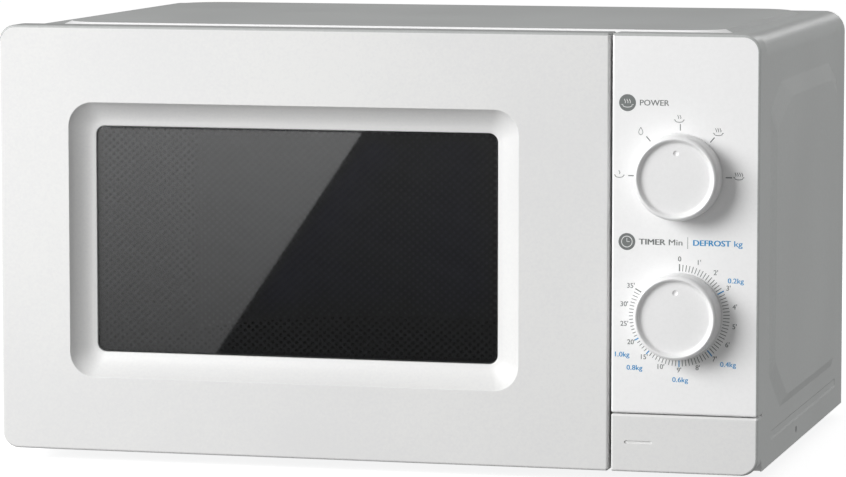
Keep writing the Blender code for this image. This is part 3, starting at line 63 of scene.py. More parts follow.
def srgb(code):
    """A hex sRGB colour as linear values."""
    shares = [int(code[i:i + 2], 16) / 255 for i in (1, 3, 5)]
    return tuple(c / 12.92 if c <= 0.04045 else ((c + 0.055) / 1.055) ** 2.4 for c in shares) + (1.0,)


def add(tree, kind, inputs=None, **settings):
    """Add a node to a tree, with its settings, and with values or other outputs on its inputs."""
    made = tree.nodes.new("ShaderNode" + kind)
    for name, value in settings.items():
        setattr(made, name, value)
    for socket, value in (inputs or {}).items():
        if isinstance(value, bpy.types.NodeSocket):
            tree.links.new(value, made.inputs[socket])
        else:
            made.inputs[socket].default_value = value
    return made


def surface(name, colour, roughness, metallic=0.0, **values):
    """A new material with one Principled shader, returned with its tree and that shader."""
    made = bpy.data.materials.new(name)
    made.use_nodes = True
    shader = made.node_tree.nodes["Principled BSDF"]
    shader.inputs["Base Color"].default_value = srgb(colour)
    shader.inputs["Roughness"].default_value = roughness
    shader.inputs["Metallic"].default_value = metallic
    for socket, value in values.items():
        shader.inputs[socket.replace("_", " ")].default_value = value
    return made, made.node_tree, shader


def soft_box(name, place, target, width, height, power):
    """A rectangular lamp that faces a target."""
    bpy.ops.object.light_add(type="AREA", location=place)
    lamp = bpy.context.object
    lamp.name = name
    lamp.data.shape = "RECTANGLE"
    lamp.data.size = width
    lamp.data.size_y = height
    lamp.data.energy = power
    aim = Vector(target) - Vector(place)
    lamp.rotation_euler = aim.to_track_quat("-Z", "Y").to_euler()
    return lamp


# Seamless paper: even, matt and nearly white, with a very slight cloudiness.
paper, tree, shader = surface("seamless_paper", "#d8d8d8", 0.9, Emission_Color=srgb("#ffffff"),
                              Emission_Strength=0.82)
cloud = add(tree, "TexNoise", {"Vector": add(tree, "TexCoord").outputs["Object"], "Scale": 0.8})
tint = add(tree, "Mix", {0: cloud.outputs[0], 6: srgb("#d2d2d2"), 7: srgb("#dadada")}, data_type="RGBA")
tree.links.new(tint.outputs[2], shader.inputs["Base Color"])

bpy.ops.object.select_all(action="DESELECT")
bpy.ops.mesh.primitive_plane_add(size=60, location=(0, 0, -0.0003))
floor = bpy.context.object
floor.name = "studio_floor"
floor.data.materials.append(paper)
floor.visible_diffuse = False
floor.visible_glossy = False

surround = bpy.data.worlds.new("studio_surround")
bpy.context.scene.world = surround
surround.use_nodes = True
tree = surround.node_tree
painted_shade_side = add(tree, "LightPath")
level = add(tree, "MapRange", {"Value": painted_shade_side.outputs["Is Camera Ray"], "To Min": 0.27, "To Max": 1.0})
tree.links.new(level.outputs[0], tree.nodes["Background"].inputs["Strength"])
tree.nodes["Background"].inputs["Color"].default_value = srgb("#ffffff")

soft_box("key_box", (-2.00, -2.10, 1.25), (0, -0.13, 0.12), 2.0, 1.6, 106)
side_box = soft_box("side_box", (2.45, 0.27, 1.60), (0.2, 0, 0.12), 0.8, 1.2, 33)
side_box.visible_glossy = False
soft_box("back_box", (-0.9, 2.8, 1.3), (0, 0.15, 0.12), 1.6, 1.2, 4).visible_glossy = False
soft_box("edge_box", (0.45, 2.60, 1.00), (0.2, 0.0, 0.24), 0.35, 0.5, 1.6)
soft_box("crest_box", (-0.70, 1.80, 2.20), (0, 0, 0.25), 1.4, 0.6, 4).visible_diffuse = False
bpy.context.scene.view_settings.view_transform = "Standard"

bpy.ops.object.camera_add(location=CAMERA_PLACE,
                          rotation=(math.pi / 2 - CAMERA_PITCH, 0, CAMERA_YAW))
camera = bpy.context.object
camera.name = "studio_camera"
camera.data.sensor_width = 36
camera.data.lens = CAMERA_LENS
bpy.context.scene.camera = camera

# ---- Outer cover -----------------------------------------------------------------------------
# One sheet of steel folded round the sides and the top, powder coated. Raised panels pressed in
# its sides and top stiffen it, and a long bead runs along the foot of each side.

SHEET = 0.0008
COVER_CORNER = 0.0120
SIDE_EMBOSS = 0.0024
TOP_EMBOSS = 0.0019
TINY = 1e-5


def take(piece):
    """Make one piece the only selected and active object."""
    bpy.ops.object.select_all(action="DESELECT")
    piece.select_set(True)
    bpy.context.view_layer.objects.active = piece


def edit_all():
    """Start editing the active mesh with all of it selected."""
    bpy.ops.object.mode_set(mode="EDIT")
    bpy.ops.mesh.select_all(action="SELECT")


def pick(kind, test):
    """Select the active mesh's vertices, edges or faces that pass a test, and stay in edit mode."""
    bpy.ops.object.mode_set(mode="EDIT")
    bpy.ops.mesh.select_mode(type=kind)
    bpy.ops.mesh.select_all(action="DESELECT")
    bpy.ops.object.mode_set(mode="OBJECT")
    mesh = bpy.context.object.data
    if kind == "VERT":
        for vertex in mesh.vertices:
            vertex.select = test(vertex.co)
    elif kind == "EDGE":
        for edge in mesh.edges:
            edge.select = test(*[mesh.vertices[i].co for i in edge.vertices])
    else:
        for face in mesh.polygons:
            face.select = test(face.center, face.normal)
    bpy.ops.object.mode_set(mode="EDIT")


def sketch(points, close=True):
    """Draw an outline by extruding a vertex from point to point, and fill it if it is closed."""
    bpy.ops.object.select_all(action="DESELECT")
    bpy.ops.mesh.primitive_plane_add(size=TINY)
    bpy.ops.object.mode_set(mode="EDIT")
    bpy.ops.mesh.select_mode(type="VERT")
    bpy.ops.mesh.merge(type="CENTER")
    here = Vector((0, 0, 0))
    for number, point in enumerate(points):
        step = Vector(point) - here
        here = Vector(point)
        if number == 0:
            bpy.ops.transform.translate(value=step)
        else:
            bpy.ops.mesh.extrude_region_move(TRANSFORM_OT_translate={"value": step})
    if close:
        bpy.ops.mesh.select_all(action="SELECT")
        bpy.ops.mesh.edge_face_add()
    bpy.ops.object.mode_set(mode="OBJECT")
    return bpy.context.object


def outline(corners, radii, segments=8):
    """A flat face through corners, each rounded to its radius."""
    face = sketch(corners)
    for radius in sorted(set(radii)):
        here = [Vector(corner) for corner, own in zip(corners, radii) if own == radius]
        pick("VERT", lambda co: any((co - corner).length < TINY for corner in here))
        bpy.ops.mesh.bevel(offset=radius, segments=segments, affect="VERTICES")
        bpy.ops.object.mode_set(mode="OBJECT")
    return face


def prism(corners, radii, reach):
    """A solid drawn out from a flat outline along a vector."""
    solid = outline(corners, radii)
    edit_all()
    bpy.ops.mesh.extrude_region_move(TRANSFORM_OT_translate={"value": Vector(reach)})
    bpy.ops.mesh.select_all(action="SELECT")
    bpy.ops.mesh.normals_make_consistent(inside=False)
    bpy.ops.object.mode_set(mode="OBJECT")
    return solid


def bridged(faces):
    """A closed solid through a row of outlines with the same number of points."""
    for face in faces:
        take(face)
        edit_all()
        bpy.ops.mesh.delete(type="ONLY_FACE")
        bpy.ops.object.mode_set(mode="OBJECT")
    for face in faces:
        face.select_set(True)
    bpy.context.view_layer.objects.active = faces[0]
    bpy.ops.object.join()
    edit_all()
    bpy.ops.mesh.bridge_edge_loops(type="SINGLE")
    bpy.ops.mesh.select_all(action="SELECT")
    bpy.ops.mesh.fill_holes(sides=0)
    bpy.ops.mesh.select_all(action="SELECT")
    bpy.ops.mesh.normals_make_consistent(inside=False)
    bpy.ops.object.mode_set(mode="OBJECT")
    return bpy.context.object


def carve(piece, tools, operation="DIFFERENCE"):
    """Take tools away from a piece, or join them to it."""
    for tool in tools:
        take(piece)
        cut = piece.modifiers.new("cut", "BOOLEAN")
        cut.operation = operation
        cut.object = tool
        bpy.ops.object.modifier_apply(modifier=cut.name)
        bpy.data.objects.remove(tool)
    return piece


def slab(low, high):
    """A rectangular block between two corners."""
    low, high = Vector(low), Vector(high)
    bpy.ops.object.select_all(action="DESELECT")
    bpy.ops.mesh.primitive_cube_add(size=1, location=(low + high) / 2, scale=high - low)
    bpy.ops.object.transform_apply(location=True, rotation=True, scale=True)
    return bpy.context.object


def bar(radius, start, end, sides=24):
    """A round bar between two points."""
    start, end = Vector(start), Vector(end)
    turn = (end - start).to_track_quat("Z", "Y").to_euler()
    bpy.ops.object.select_all(action="DESELECT")
    bpy.ops.mesh.primitive_cylinder_add(vertices=sides, radius=radius, depth=(end - start).length,
                                        location=(start + end) / 2, rotation=turn)
    bpy.ops.object.transform_apply(location=True, rotation=True, scale=True)
    return bpy.context.object


def fitted(piece, name, finish, body, *nodes, slot=None, angle=30):
    """Name and shade a finished piece, put its place in its mesh, hang it on its body and hide the CAD nodes
    that it stands for.
    """
    take(piece)
    piece.name = name
    piece.data.name = name
    piece.data.materials.clear()
    piece.data.materials.append(finish)
    bpy.ops.object.transform_apply(location=True, rotation=True, scale=True)
    bpy.ops.object.shade_smooth_by_angle(angle=math.radians(angle))
    level_faces = piece.modifiers.new("level_faces", "WEIGHTED_NORMAL")
    level_faces.keep_sharp = True
    bpy.ops.object.modifier_apply(modifier=level_faces.name)
    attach(piece, body)
    if nodes:
        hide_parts(*nodes)
    return piece


def coated(name, light, dark, roughness, peel, depth, fleck=0.0015, **values):
    """A sprayed or moulded coat: two close tones, uneven gloss, and a fine skin of bumps.

    peel is the distance between the bumps and fleck that between the tones, in metres.
    """
    made, tree, shader = surface(name, light, roughness, **values)
    place = add(tree, "TexCoord").outputs["Object"]
    tone = add(tree, "TexNoise", {"Vector": place, "Scale": 1 / fleck, "Detail": 3.0})
    wide = add(tree, "TexNoise", {"Vector": place, "Scale": 9.0, "Detail": 2.0})
    both = add(tree, "Math", {0: tone.outputs[0], 1: wide.outputs[0]}, operation="MULTIPLY")
    spread = add(tree, "MapRange", {"Value": both.outputs[0], "From Min": 0.15, "From Max": 0.35})
    tint = add(tree, "Mix", {0: spread.outputs[0], 6: srgb(dark), 7: srgb(light)}, data_type="RGBA")
    gloss = add(tree, "MapRange", {"Value": wide.outputs[0], "From Min": 0.3, "From Max": 0.7,
                                   "To Min": roughness - 0.04, "To Max": roughness + 0.05})
    skin = add(tree, "TexNoise", {"Vector": place, "Scale": 1 / peel, "Detail": 2.0})
    bump = add(tree, "Bump", {"Height": skin.outputs[0], "Distance": depth, "Strength": 1.0})
    tree.links.new(tint.outputs[2], shader.inputs["Base Color"])
    tree.links.new(gloss.outputs[0], shader.inputs["Roughness"])
    tree.links.new(bump.outputs[0], shader.inputs["Normal"])
    return made


# Powder coat on steel, light grey and half matt; orange peel drawn at 2.5 mm so that it shows.
powder_coat = coated("powder_coated_steel", "#b5b7b6", "#afb1b0", 0.36, 0.0025, 0.000010)

cover_low, cover_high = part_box("outer_cover")
COVER_RIGHT = cover_high.x - SIDE_EMBOSS
COVER_TOP = cover_high.z - TOP_EMBOSS
COVER_FRONT = cover_low.y
BACK = cover_high.y
BOTTOM = cover_low.z

bend_x, bend_z = COVER_RIGHT - COVER_CORNER, COVER_TOP - COVER_CORNER
stations = [((-COVER_RIGHT, BOTTOM), (-COVER_RIGHT + SHEET, BOTTOM))]
for side, start in ((-1, math.pi), (1, math.pi / 2)):
    for i in range(11):
        turn = start - math.pi / 2 * i / 10
        stations.append([(side * bend_x + reach * math.cos(turn), bend_z + reach * math.sin(turn))
                         for reach in (COVER_CORNER, COVER_CORNER - SHEET)])
stations.append(((COVER_RIGHT, BOTTOM), (COVER_RIGHT - SHEET, BOTTOM)))
cover = bridged([sketch([(outer[0], COVER_FRONT, outer[1]), (outer[0], BACK, outer[1]),
                         (inner[0], BACK, inner[1]), (inner[0], COVER_FRONT, inner[1])])
                 for outer, inner in stations])
pick("EDGE", lambda a, b: max(a.y, b.y) < COVER_FRONT + TINY)
bpy.ops.mesh.bevel(offset=SHEET * 0.42, segments=3, affect="EDGES")
bpy.ops.object.mode_set(mode="OBJECT")

# The pressed slopes ease in and out: shares of the way across and of the height.
slope = ((0, 0), (0.05, 0.015), (0.12, 0.08), (0.88, 0.92), (0.95, 0.985), (1, 1))


def pressed_panel(foot, crest, radii, raise_by):
    """A raised panel between the outline at its foot and the one at its crest."""
    faces = [outline([Vector(a) - Vector(raise_by) * 0.2 for a in foot], radii[0], 5)]
    for across, up in slope:
        corners = [Vector(a).lerp(Vector(b), across) + Vector(raise_by) * up for a, b in zip(foot, crest)]
        faces.append(outline(corners, [r + (s - r) * across for r, s in zip(*radii)], 5))
    return bridged(faces)


front, rear = COVER_FRONT + 0.0214, BACK - 0.0320
low, high = BOTTOM + 0.0280, BOTTOM + 0.2140
side_foot = [
    (front, low + 0.0220), (front + 0.0360, low), (rear - 0.0080, low), (rear, low + 0.0120),
    (rear, high - 0.0120), (rear - 0.0290, high), (front + 0.0320, high), (front, high - 0.0140),
]
side_crest = [
    (front + 0.0090, low + 0.0290), (front + 0.0480, low + 0.0065), (rear - 0.0140, low + 0.0065),
    (rear - 0.0090, low + 0.0160), (rear - 0.0090, high - 0.0220), (rear - 0.0300, high - 0.0110),
    (front + 0.0600, high - 0.0110), (front + 0.0090, high - 0.0270),
]
panels = []
grooves = []
bead_front, bead_rear = COVER_FRONT + 0.0300, BACK - 0.0250
bead_low, bead_high = BOTTOM + 0.0132, BOTTOM + 0.0188
for side in (-1, 1):
    base = side * COVER_RIGHT
    foot_line = [(base, y, z) for y, z in side_foot]
    crest_line = [(base, y, z) for y, z in side_crest]
    panels.append(pressed_panel(foot_line, crest_line, ([0.0030] * 8, [0.0040] * 8),
                                (side * SIDE_EMBOSS, 0, 0)))
    stages = []
    for inset, x in ((-0.0005, base + side * 0.0010), (0, base), (0.0011, base - side * 0.0006)):
        corners = [(x, bead_front + inset, bead_low + inset), (x, bead_rear - inset, bead_low + inset),
                   (x, bead_rear - inset, bead_high - inset), (x, bead_front + inset, bead_high - inset)]
        stages.append(outline(corners, [0.0027 - inset] * 4, 6))
    grooves.append(bridged(stages))
    screw_y, screw_z = COVER_FRONT + 0.1150, BOTTOM + 0.0074
    screw_ends = [(base + side * reach, screw_y, screw_z) for reach in (-0.0030, 0.0030)]
    grooves.append(bar(0.0020, *screw_ends))

margin, slide_in = 0.0210, 0.0050
top_low = (-COVER_RIGHT + margin, COVER_FRONT + 0.0060)
top_high = (COVER_RIGHT - margin, BACK - 0.0150)
top_lines = []
for inset in (0, slide_in):
    left, right = top_low[0] + inset, top_high[0] - inset
    near, far = top_low[1] + inset, top_high[1] - inset
    top_lines.append([(left, near, COVER_TOP), (right, near, COVER_TOP), (right, far, COVER_TOP),
                      (left, far, COVER_TOP)])
panels.append(pressed_panel(*top_lines, ([0.0300] * 4, [0.0250] * 4), (0, 0, TOP_EMBOSS)))
carve(cover, panels, "UNION")
carve(cover, grooves)
fitted(cover, "folded_cover", powder_coat, "root", "outer_cover", slot="cover_paint", angle=28)
# The sheet's cut front edge and the front crest of the top's raised panel are painted near white: a painted
# highlight where light catches them.
cover.data.materials.append(coated("painted_highlight_paint", "#f6f6f6", "#efefef", 0.30, 0.0025, 0.000004))
for face in cover.data.polygons:
    cut_edge = face.normal.y < -0.9 and face.center.y < COVER_FRONT + TINY
    crest = face.normal.y < -0.10 and face.normal.z > 0.5 and face.center.y < COVER_FRONT + 0.03
    if cut_edge or crest:
        face.material_index = 1
# The soft box at the right lights only the pieces that this collection holds.
side_lit = bpy.data.collections.new("side_lit")
side_lit.objects.link(cover)
side_box.light_linking.receiver_collection = side_lit

# ---- Door shell ------------------------------------------------------------------------------
# Injection-moulded ABS in white. A hollow slope runs round the window down to the glass, the front
# edges are rounded, and the back is hollow for the screen and the latch bar.

EDGE_ROUND = 0.0014
CORNER = 0.0095
SEAM_CORNER = 0.0012
WINDOW_CORNER = 0.0140
COVE_WIDTH = 0.0135
COVE_DEPTH = 0.0085
GLASS_STEP = 0.0045
DOOR_WALL = 0.0043
CLEAR = 0.0003

# ABS, moulded in a finely sparked tool: soft sheen, the grain drawn at 1 mm so that it shows.
white_abs = coated("moulded_white_abs", "#e6e6e5", "#e2e2e2", 0.40, 0.0010, 0.000006)

door_low, door_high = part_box("door_frame")
LEFT, FACE, _ = door_low
DOOR_RIGHT, FRAME_BACK, TOP = door_high
glass_low, glass_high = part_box("door_glass")
LIP_LEFT, LIP_RIGHT = glass_low.x + GLASS_STEP, glass_high.x - GLASS_STEP
LIP_BOTTOM, LIP_TOP = glass_low.z + GLASS_STEP, glass_high.z - GLASS_STEP


def upright(low, high, y, radii, inset):
    """An outline facing the front, between two corners given as x and z, drawn in by an inset."""
    left, bottom = low[0] + inset, low[1] + inset
    right, top = high[0] - inset, high[1] - inset
    corners = [(left, y, bottom), (right, y, bottom), (right, y, top), (left, y, top)]
    return outline(corners, [max(radius - inset, 0.0002) for radius in radii])


def front_moulding(low, high, radii, back):
    """A block of the oven's front with rounded front edges."""
    stages = 7
    faces = []
    for i in range(stages + 1):
        turn = math.pi / 2 * i / stages
        inset = EDGE_ROUND * (1 - math.sin(turn))
        faces.append(upright(low, high, FACE + EDGE_ROUND * (1 - math.cos(turn)), radii, inset))
    faces.append(upright(low, high, back, radii, 0))
    return bridged(faces)


def grey_sides_and_painted_shade(piece):
    """Paint a front moulding's sides in the cover's grey, and on the right and top its rounded front edge
    too, as painted shade.
    """
    piece.data.materials.append(powder_coat)
    for face in piece.data.polygons:
        x, y, z = face.center
        out_x = face.normal.x * math.copysign(1, x) > 0.05 and abs(x) > -LEFT - CORNER
        out_z = (face.normal.z > 0.05 and z > TOP - CORNER) or (face.normal.z < -0.05 and z < BOTTOM + CORNER)
        # On the right and top the grey reaches onto the rounded edge up to the flat face: painted shade. On
        # the left and bottom it starts behind the rounding.
        painted_shade_side = x > 0 and face.normal.x > 0.05 or face.normal.z > 0.05
        if (out_x or out_z) and y > FACE + (TINY if painted_shade_side else EDGE_ROUND):
            face.material_index = 1


shell_radii = (CORNER, SEAM_CORNER, SEAM_CORNER, CORNER)
shell = front_moulding((LEFT, BOTTOM), (DOOR_RIGHT, TOP), shell_radii, FRAME_BACK)
recess_low = (LIP_LEFT - COVE_WIDTH, LIP_BOTTOM - COVE_WIDTH)
recess_high = (LIP_RIGHT + COVE_WIDTH, LIP_TOP + COVE_WIDTH)
pocket_front = FACE + COVE_DEPTH + 0.0020
steps = 12
brink = 0.0006
ledge = 0.0008
cove = [(-brink, FACE - 0.0010), (-brink * 0.9, FACE - TINY)]
for i in range(1, 4):
    turn = math.pi / 8 * i
    cove.append((brink * (math.sin(turn) - 1), FACE + brink * (1 - math.cos(turn))))
for i in range(1, steps + 1):
    across = i / steps
    fall = 1.75 * across - 0.75 * across ** 2
    cove.append(((COVE_WIDTH - ledge) * across, FACE + brink + (COVE_DEPTH - brink) * fall))
cove.append((COVE_WIDTH - ledge * 0.3, FACE + COVE_DEPTH + 0.0002))
cove.append((COVE_WIDTH, FACE + COVE_DEPTH + 0.0006))
cove.append((COVE_WIDTH, pocket_front + 0.0010))
window_faces = []
for inset, y in cove:
    left, bottom = recess_low[0] + inset, recess_low[1] + inset
    right, top = recess_high[0] - inset, recess_high[1] - inset
    corners = [(left, y, bottom), (right, y, bottom), (right, y, top), (left, y, top)]
    window_faces.append(outline(corners, [WINDOW_CORNER - 0.65 * inset] * 4, 12))
window_tool = bridged(window_faces)

pocket = slab((LEFT + 0.0160, pocket_front, BOTTOM + DOOR_WALL),
              (DOOR_RIGHT - DOOR_WALL, FRAME_BACK + 0.0010, TOP - DOOR_WALL))
PIVOT_X, PIVOT_Y = LEFT + 0.0070, FRAME_BACK - 0.0090
swing = 0.0089
quarter = [math.pi / 2 * (1 + i / 12) for i in range(13)]
rim = [(PIVOT_X + swing * math.cos(turn), PIVOT_Y + swing * math.sin(turn)) for turn in quarter]
rim += [(LEFT - 0.0060, PIVOT_Y), (LEFT - 0.0060, FRAME_BACK + 0.0020), (PIVOT_X, FRAME_BACK + 0.0020)]
swing_corner = prism([(x, y, BOTTOM - 0.0010) for x, y in rim], [], (0, 0, TOP - BOTTOM + 0.0020))
hinge_cuts = []
for name, up in (("hinge_lower", 1), ("hinge_upper", -1)):
    low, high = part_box(name)
    tongue = (low.z + 0.0080) if up > 0 else (high.z - 0.0080)
    hinge_cuts.append(slab((LEFT - 0.0010, PIVOT_Y - 0.0056, tongue - 0.0015),
                           (PIVOT_X + 0.0044, FRAME_BACK + 0.0010, tongue + 0.0015)))
    hinge_cuts.append(bar(0.0028, (PIVOT_X, PIVOT_Y, tongue), (PIVOT_X, PIVOT_Y, tongue + up * 0.0130)))
carve(shell, [window_tool, pocket, swing_corner] + hinge_cuts)
fitted(shell, "door_shell", white_abs, "door", "door_frame", slot="white_abs", angle=28)
grey_sides_and_painted_shade(shell)

# ---- Window glass and screen -----------------------------------------------------------------
# Tempered glass, tinted nearly black, held by its stepped rim behind the shell's lip. Right behind
# it is the steel screen, enamelled dark, with staggered holes too small for microwaves.

HOLE_PITCH = 0.0047
HOLE_ROW = 0.0021
HOLE_RADIUS = 0.00105

# Tinted soda-lime glass: polished, so that it mirrors, and so dark that the inside barely shows.
window_glass, tree, shader = surface("tinted_float_glass", "#7c7e80", 0.02, IOR=1.52,
                                     Transmission_Weight=1.0)
place = add(tree, "TexCoord").outputs["Object"]
smear = add(tree, "TexNoise", {"Vector": place, "Scale": 14.0, "Detail": 4.0})
gloss = add(tree, "MapRange", {"Value": smear.outputs[0], "To Min": 0.01, "To Max": 0.035})
tree.links.new(gloss.outputs[0], shader.inputs["Roughness"])

# Vitreous enamel on perforated steel: glassy dark grey with a slight wave.
dark_enamel = coated("dark_enamelled_steel", "#5a5a5b", "#525253", 0.22, 0.0040, 0.000004)

rim_front = pocket_front + CLEAR
GLASS_FRONT = glass_low.y
lip = ((LIP_LEFT, LIP_BOTTOM), (LIP_RIGHT, LIP_TOP))
lip_radii = (WINDOW_CORNER - 0.65 * COVE_WIDTH,) * 4
edge = 0.0004
gap = 0.0007
pane = []
for inset, y in ((gap + edge, GLASS_FRONT), (gap + edge * 0.3, GLASS_FRONT + edge * 0.3),
                 (gap, GLASS_FRONT + edge), (gap, rim_front), (-GLASS_STEP, rim_front),
                 (-GLASS_STEP, glass_high.y)):
    pane.append(upright(*lip, y, lip_radii, inset))
fitted(bridged(pane), "window_glass", window_glass, "door", "door_glass", slot="window_glass")


def copy_of(node):
    """A new mesh like a CAD node's, with its loose triangles merged into whole faces."""
    made = bpy.data.objects.new(node + "_copy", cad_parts[node].data.copy())
    bpy.context.scene.collection.objects.link(made)
    take(made)
    edit_all()
    bpy.ops.mesh.remove_doubles(threshold=TINY)
    bpy.ops.mesh.dissolve_limited(angle_limit=math.radians(1))
    bpy.ops.object.mode_set(mode="OBJECT")
    return made


screen_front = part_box("door_inner_panel")[0].y
edge_in = 0.0035
screen = copy_of("door_inner_panel")
carve(screen, [slab((LIP_LEFT - edge_in, screen_front - 0.0010, LIP_BOTTOM - edge_in),
                    (LIP_RIGHT + edge_in, screen_front + 0.0018, LIP_TOP + edge_in))])
half_x, half_z = HOLE_PITCH / 2, HOLE_ROW
tip = (half_x ** 2 + half_z ** 2) / (2 * half_x)
shoulder = half_x - tip
web_corners = [(tip, 0), (shoulder, half_z), (-shoulder, half_z),
               (-tip, 0), (-shoulder, -half_z), (shoulder, -half_z)]
start_x, start_z = LIP_LEFT - 0.0046, LIP_BOTTOM - 0.0044
mid_y = screen_front + SHEET * 0.25
web = sketch([(start_x + x, mid_y, start_z + z) for x, z in web_corners])
sixths = [math.pi / 3 * i for i in range(6)]
hole = sketch([(start_x + HOLE_RADIUS * math.cos(turn), mid_y, start_z + HOLE_RADIUS * math.sin(turn))
               for turn in sixths])
for face in (web, hole):
    take(face)
    edit_all()
    bpy.ops.mesh.delete(type="ONLY_FACE")
    bpy.ops.object.mode_set(mode="OBJECT")
web.select_set(True)
hole.select_set(True)
bpy.context.view_layer.objects.active = web
bpy.ops.object.join()
edit_all()
bpy.ops.mesh.bridge_edge_loops(type="SINGLE")
bpy.ops.object.mode_set(mode="OBJECT")
columns = math.ceil((LIP_RIGHT - LIP_LEFT + 0.0090) / HOLE_PITCH)
rows = math.ceil((LIP_TOP - LIP_BOTTOM + 0.0080) / (2 * HOLE_ROW))
steps_across = ((2, (half_x, 0, HOLE_ROW)), (columns, (HOLE_PITCH, 0, 0)), (rows, (0, 0, 2 * HOLE_ROW)))
for count, offset in steps_across:
    repeat = web.modifiers.new("repeat", "ARRAY")
    repeat.count = count
    repeat.use_relative_offset = False
    repeat.use_constant_offset = True
    repeat.constant_offset_displace = offset
    bpy.ops.object.modifier_apply(modifier=repeat.name)
edit_all()
bpy.ops.mesh.remove_doubles(threshold=TINY * 3)
bpy.ops.mesh.normals_make_consistent(inside=False)
bpy.ops.object.mode_set(mode="OBJECT")
thick = web.modifiers.new("thick", "SOLIDIFY")
thick.thickness = SHEET * 0.5
thick.offset = 0
bpy.ops.object.modifier_apply(modifier=thick.name)
web.data.transform(Matrix.Translation((0, SHEET * 0.25, 0)))
screen.select_set(True)
bpy.context.view_layer.objects.active = screen
bpy.ops.object.join()
fitted(screen, "door_screen", dark_enamel, "door", "door_inner_panel", slot="steel", angle=30)

# Two cards in front of the oven, seen only in reflections: a glowing one that lies on the glass as
# a light patch with a slanting edge, and a dim one beyond that edge.
CARD_Y = -0.50
mirrored_eye = Vector((CAMERA_PLACE.x, 2 * GLASS_FRONT - CAMERA_PLACE.y, CAMERA_PLACE.z))
edge_top, edge_bottom = (0.0180, 0.2300), (-0.0997, 0.0560)


def on_card(x, z):
    """Where the mirrored sight line through a point of the glass meets the card's plane."""
    share = (CARD_Y - mirrored_eye.y) / (GLASS_FRONT - mirrored_eye.y)
    return mirrored_eye + (Vector((x, GLASS_FRONT, z)) - mirrored_eye) * share


def glowing(name, weakest, strongest):
    """A black card's white glow, which grows from the foot of the oven's reflection to its top."""
    made, tree, shader = surface(name, "#000000", 0.9, Emission_Color=srgb("#ffffff"))
    place = add(tree, "SeparateXYZ", {0: add(tree, "TexCoord").outputs["Object"]})
    fade = add(tree, "MapRange", {"Value": place.outputs["Z"], "From Min": on_card(0, 0.06).z,
                                  "From Max": on_card(0, 0.20).z, "To Min": weakest, "To Max": strongest})
    tree.links.new(fade.outputs[0], shader.inputs["Emission Strength"])
    return made


for name, strengths, corners in (
        ("light_card", (1.0, 2.4), [(-0.40, 0.0560), edge_bottom, edge_top, (-0.40, 0.2300)]),
        ("dim_card", (0.16, 0.42), [edge_bottom, (0.45, 0.0560), (0.45, 0.2300), edge_top])):
    card = sketch([on_card(x, z) for x, z in corners])
    card.name = name
    card.data.materials.append(glowing(name, *strengths))
    card.visible_camera = False
    card.visible_diffuse = False
    card.visible_shadow = False

# ---- Choke cover and latch bar ---------------------------------------------------------------
# A white ABS frame snapped into the back of the door covers the choke round the screen. The nylon
# latch bar slides up and down behind the door's free edge, held down by a small steel spring.


def eased(node, width):
    """A CAD node's shape with its sharp edges rounded."""
    piece = copy_of(node)
    ease = piece.modifiers.new("ease", "BEVEL")
    ease.width = width
    ease.segments = 2
    ease.limit_method = "ANGLE"
    ease.angle_limit = math.radians(40)
    bpy.ops.object.modifier_apply(modifier=ease.name)
    return piece


def middle(node):
    """The middle of a CAD node's box, as x, y and z."""
    return tuple((low_end + high_end) / 2 for low_end, high_end in zip(*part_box(node)))


def wire(name, points, radius, sides=3):
    """A round wire through points, as a mesh."""
    line = bpy.data.curves.new(name, "CURVE")
    line.dimensions = "3D"
    line.bevel_depth = radius
    line.bevel_resolution = sides
    line.use_fill_caps = True
    spline = line.splines.new("POLY")
    spline.points.add(len(points) - 1)
    for point, place in zip(spline.points, points):
        point.co = (*place, 1)
    made = bpy.data.objects.new(name, line)
    bpy.context.scene.collection.objects.link(made)
    take(made)
    bpy.ops.object.convert(target="MESH")
    return bpy.context.object


def spring(name, centre, axis, start, end, radius, thickness, turns):
    """A compression spring wound round an axis, its end turns closed up."""
    count = turns * 20
    points = []
    for i in range(count + 1):
        share = i / count
        closed = 0.5 - 0.5 * math.cos(math.pi * share)
        along = start + thickness + (end - start - 2 * thickness) * (0.4 * closed + 0.6 * share)
        u = centre[0] + radius * math.cos(2 * math.pi * turns * share)
        v = centre[1] + radius * math.sin(2 * math.pi * turns * share)
        points.append((u, along, v) if axis == "Y" else (u, v, along))
    return wire(name, points, thickness)


# Polyamide, moulded and left natural: cream, waxy, slightly cloudy.
nylon = coated("natural_polyamide", "#dcd8c8", "#d2cdbb", 0.42, 0.0012, 0.000006)


def bare_metal(name, light, dark, roughness, pitch, stretch):
    """Bare metal with its rolling or drawing lines; pitch is their distance, along the X axis."""
    made, tree, shader = surface(name, light, roughness, 1.0)
    place = add(tree, "TexCoord").outputs["Object"]
    along = add(tree, "Mapping", {"Vector": place, "Scale": (1 / stretch, 1, 1)})
    lines = add(tree, "TexNoise", {"Vector": along.outputs[0], "Scale": 1 / pitch, "Detail": 3.0})
    cloud = add(tree, "TexNoise", {"Vector": place, "Scale": 30.0, "Detail": 2.0})
    both = add(tree, "Math", {0: lines.outputs[0], 1: cloud.outputs[0]})
    spread = add(tree, "MapRange", {"Value": both.outputs[0], "From Min": 0.75, "From Max": 1.25})
    tint = add(tree, "Mix", {0: spread.outputs[0], 6: srgb(dark), 7: srgb(light)}, data_type="RGBA")
    gloss = add(tree, "MapRange", {"Value": lines.outputs[0], "To Min": roughness - 0.08,
                                   "To Max": roughness + 0.1})
    bump = add(tree, "Bump", {"Height": lines.outputs[0], "Distance": 0.000003, "Strength": 1.0})
    tree.links.new(tint.outputs[2], shader.inputs["Base Color"])
    tree.links.new(gloss.outputs[0], shader.inputs["Roughness"])
    tree.links.new(bump.outputs[0], shader.inputs["Normal"])
    return made


# Spring wire and turned shafts: bright drawn steel.
bright_steel = bare_metal("drawn_bright_steel", "#c9cacc", "#b4b6b9", 0.25, 0.0006, 4)

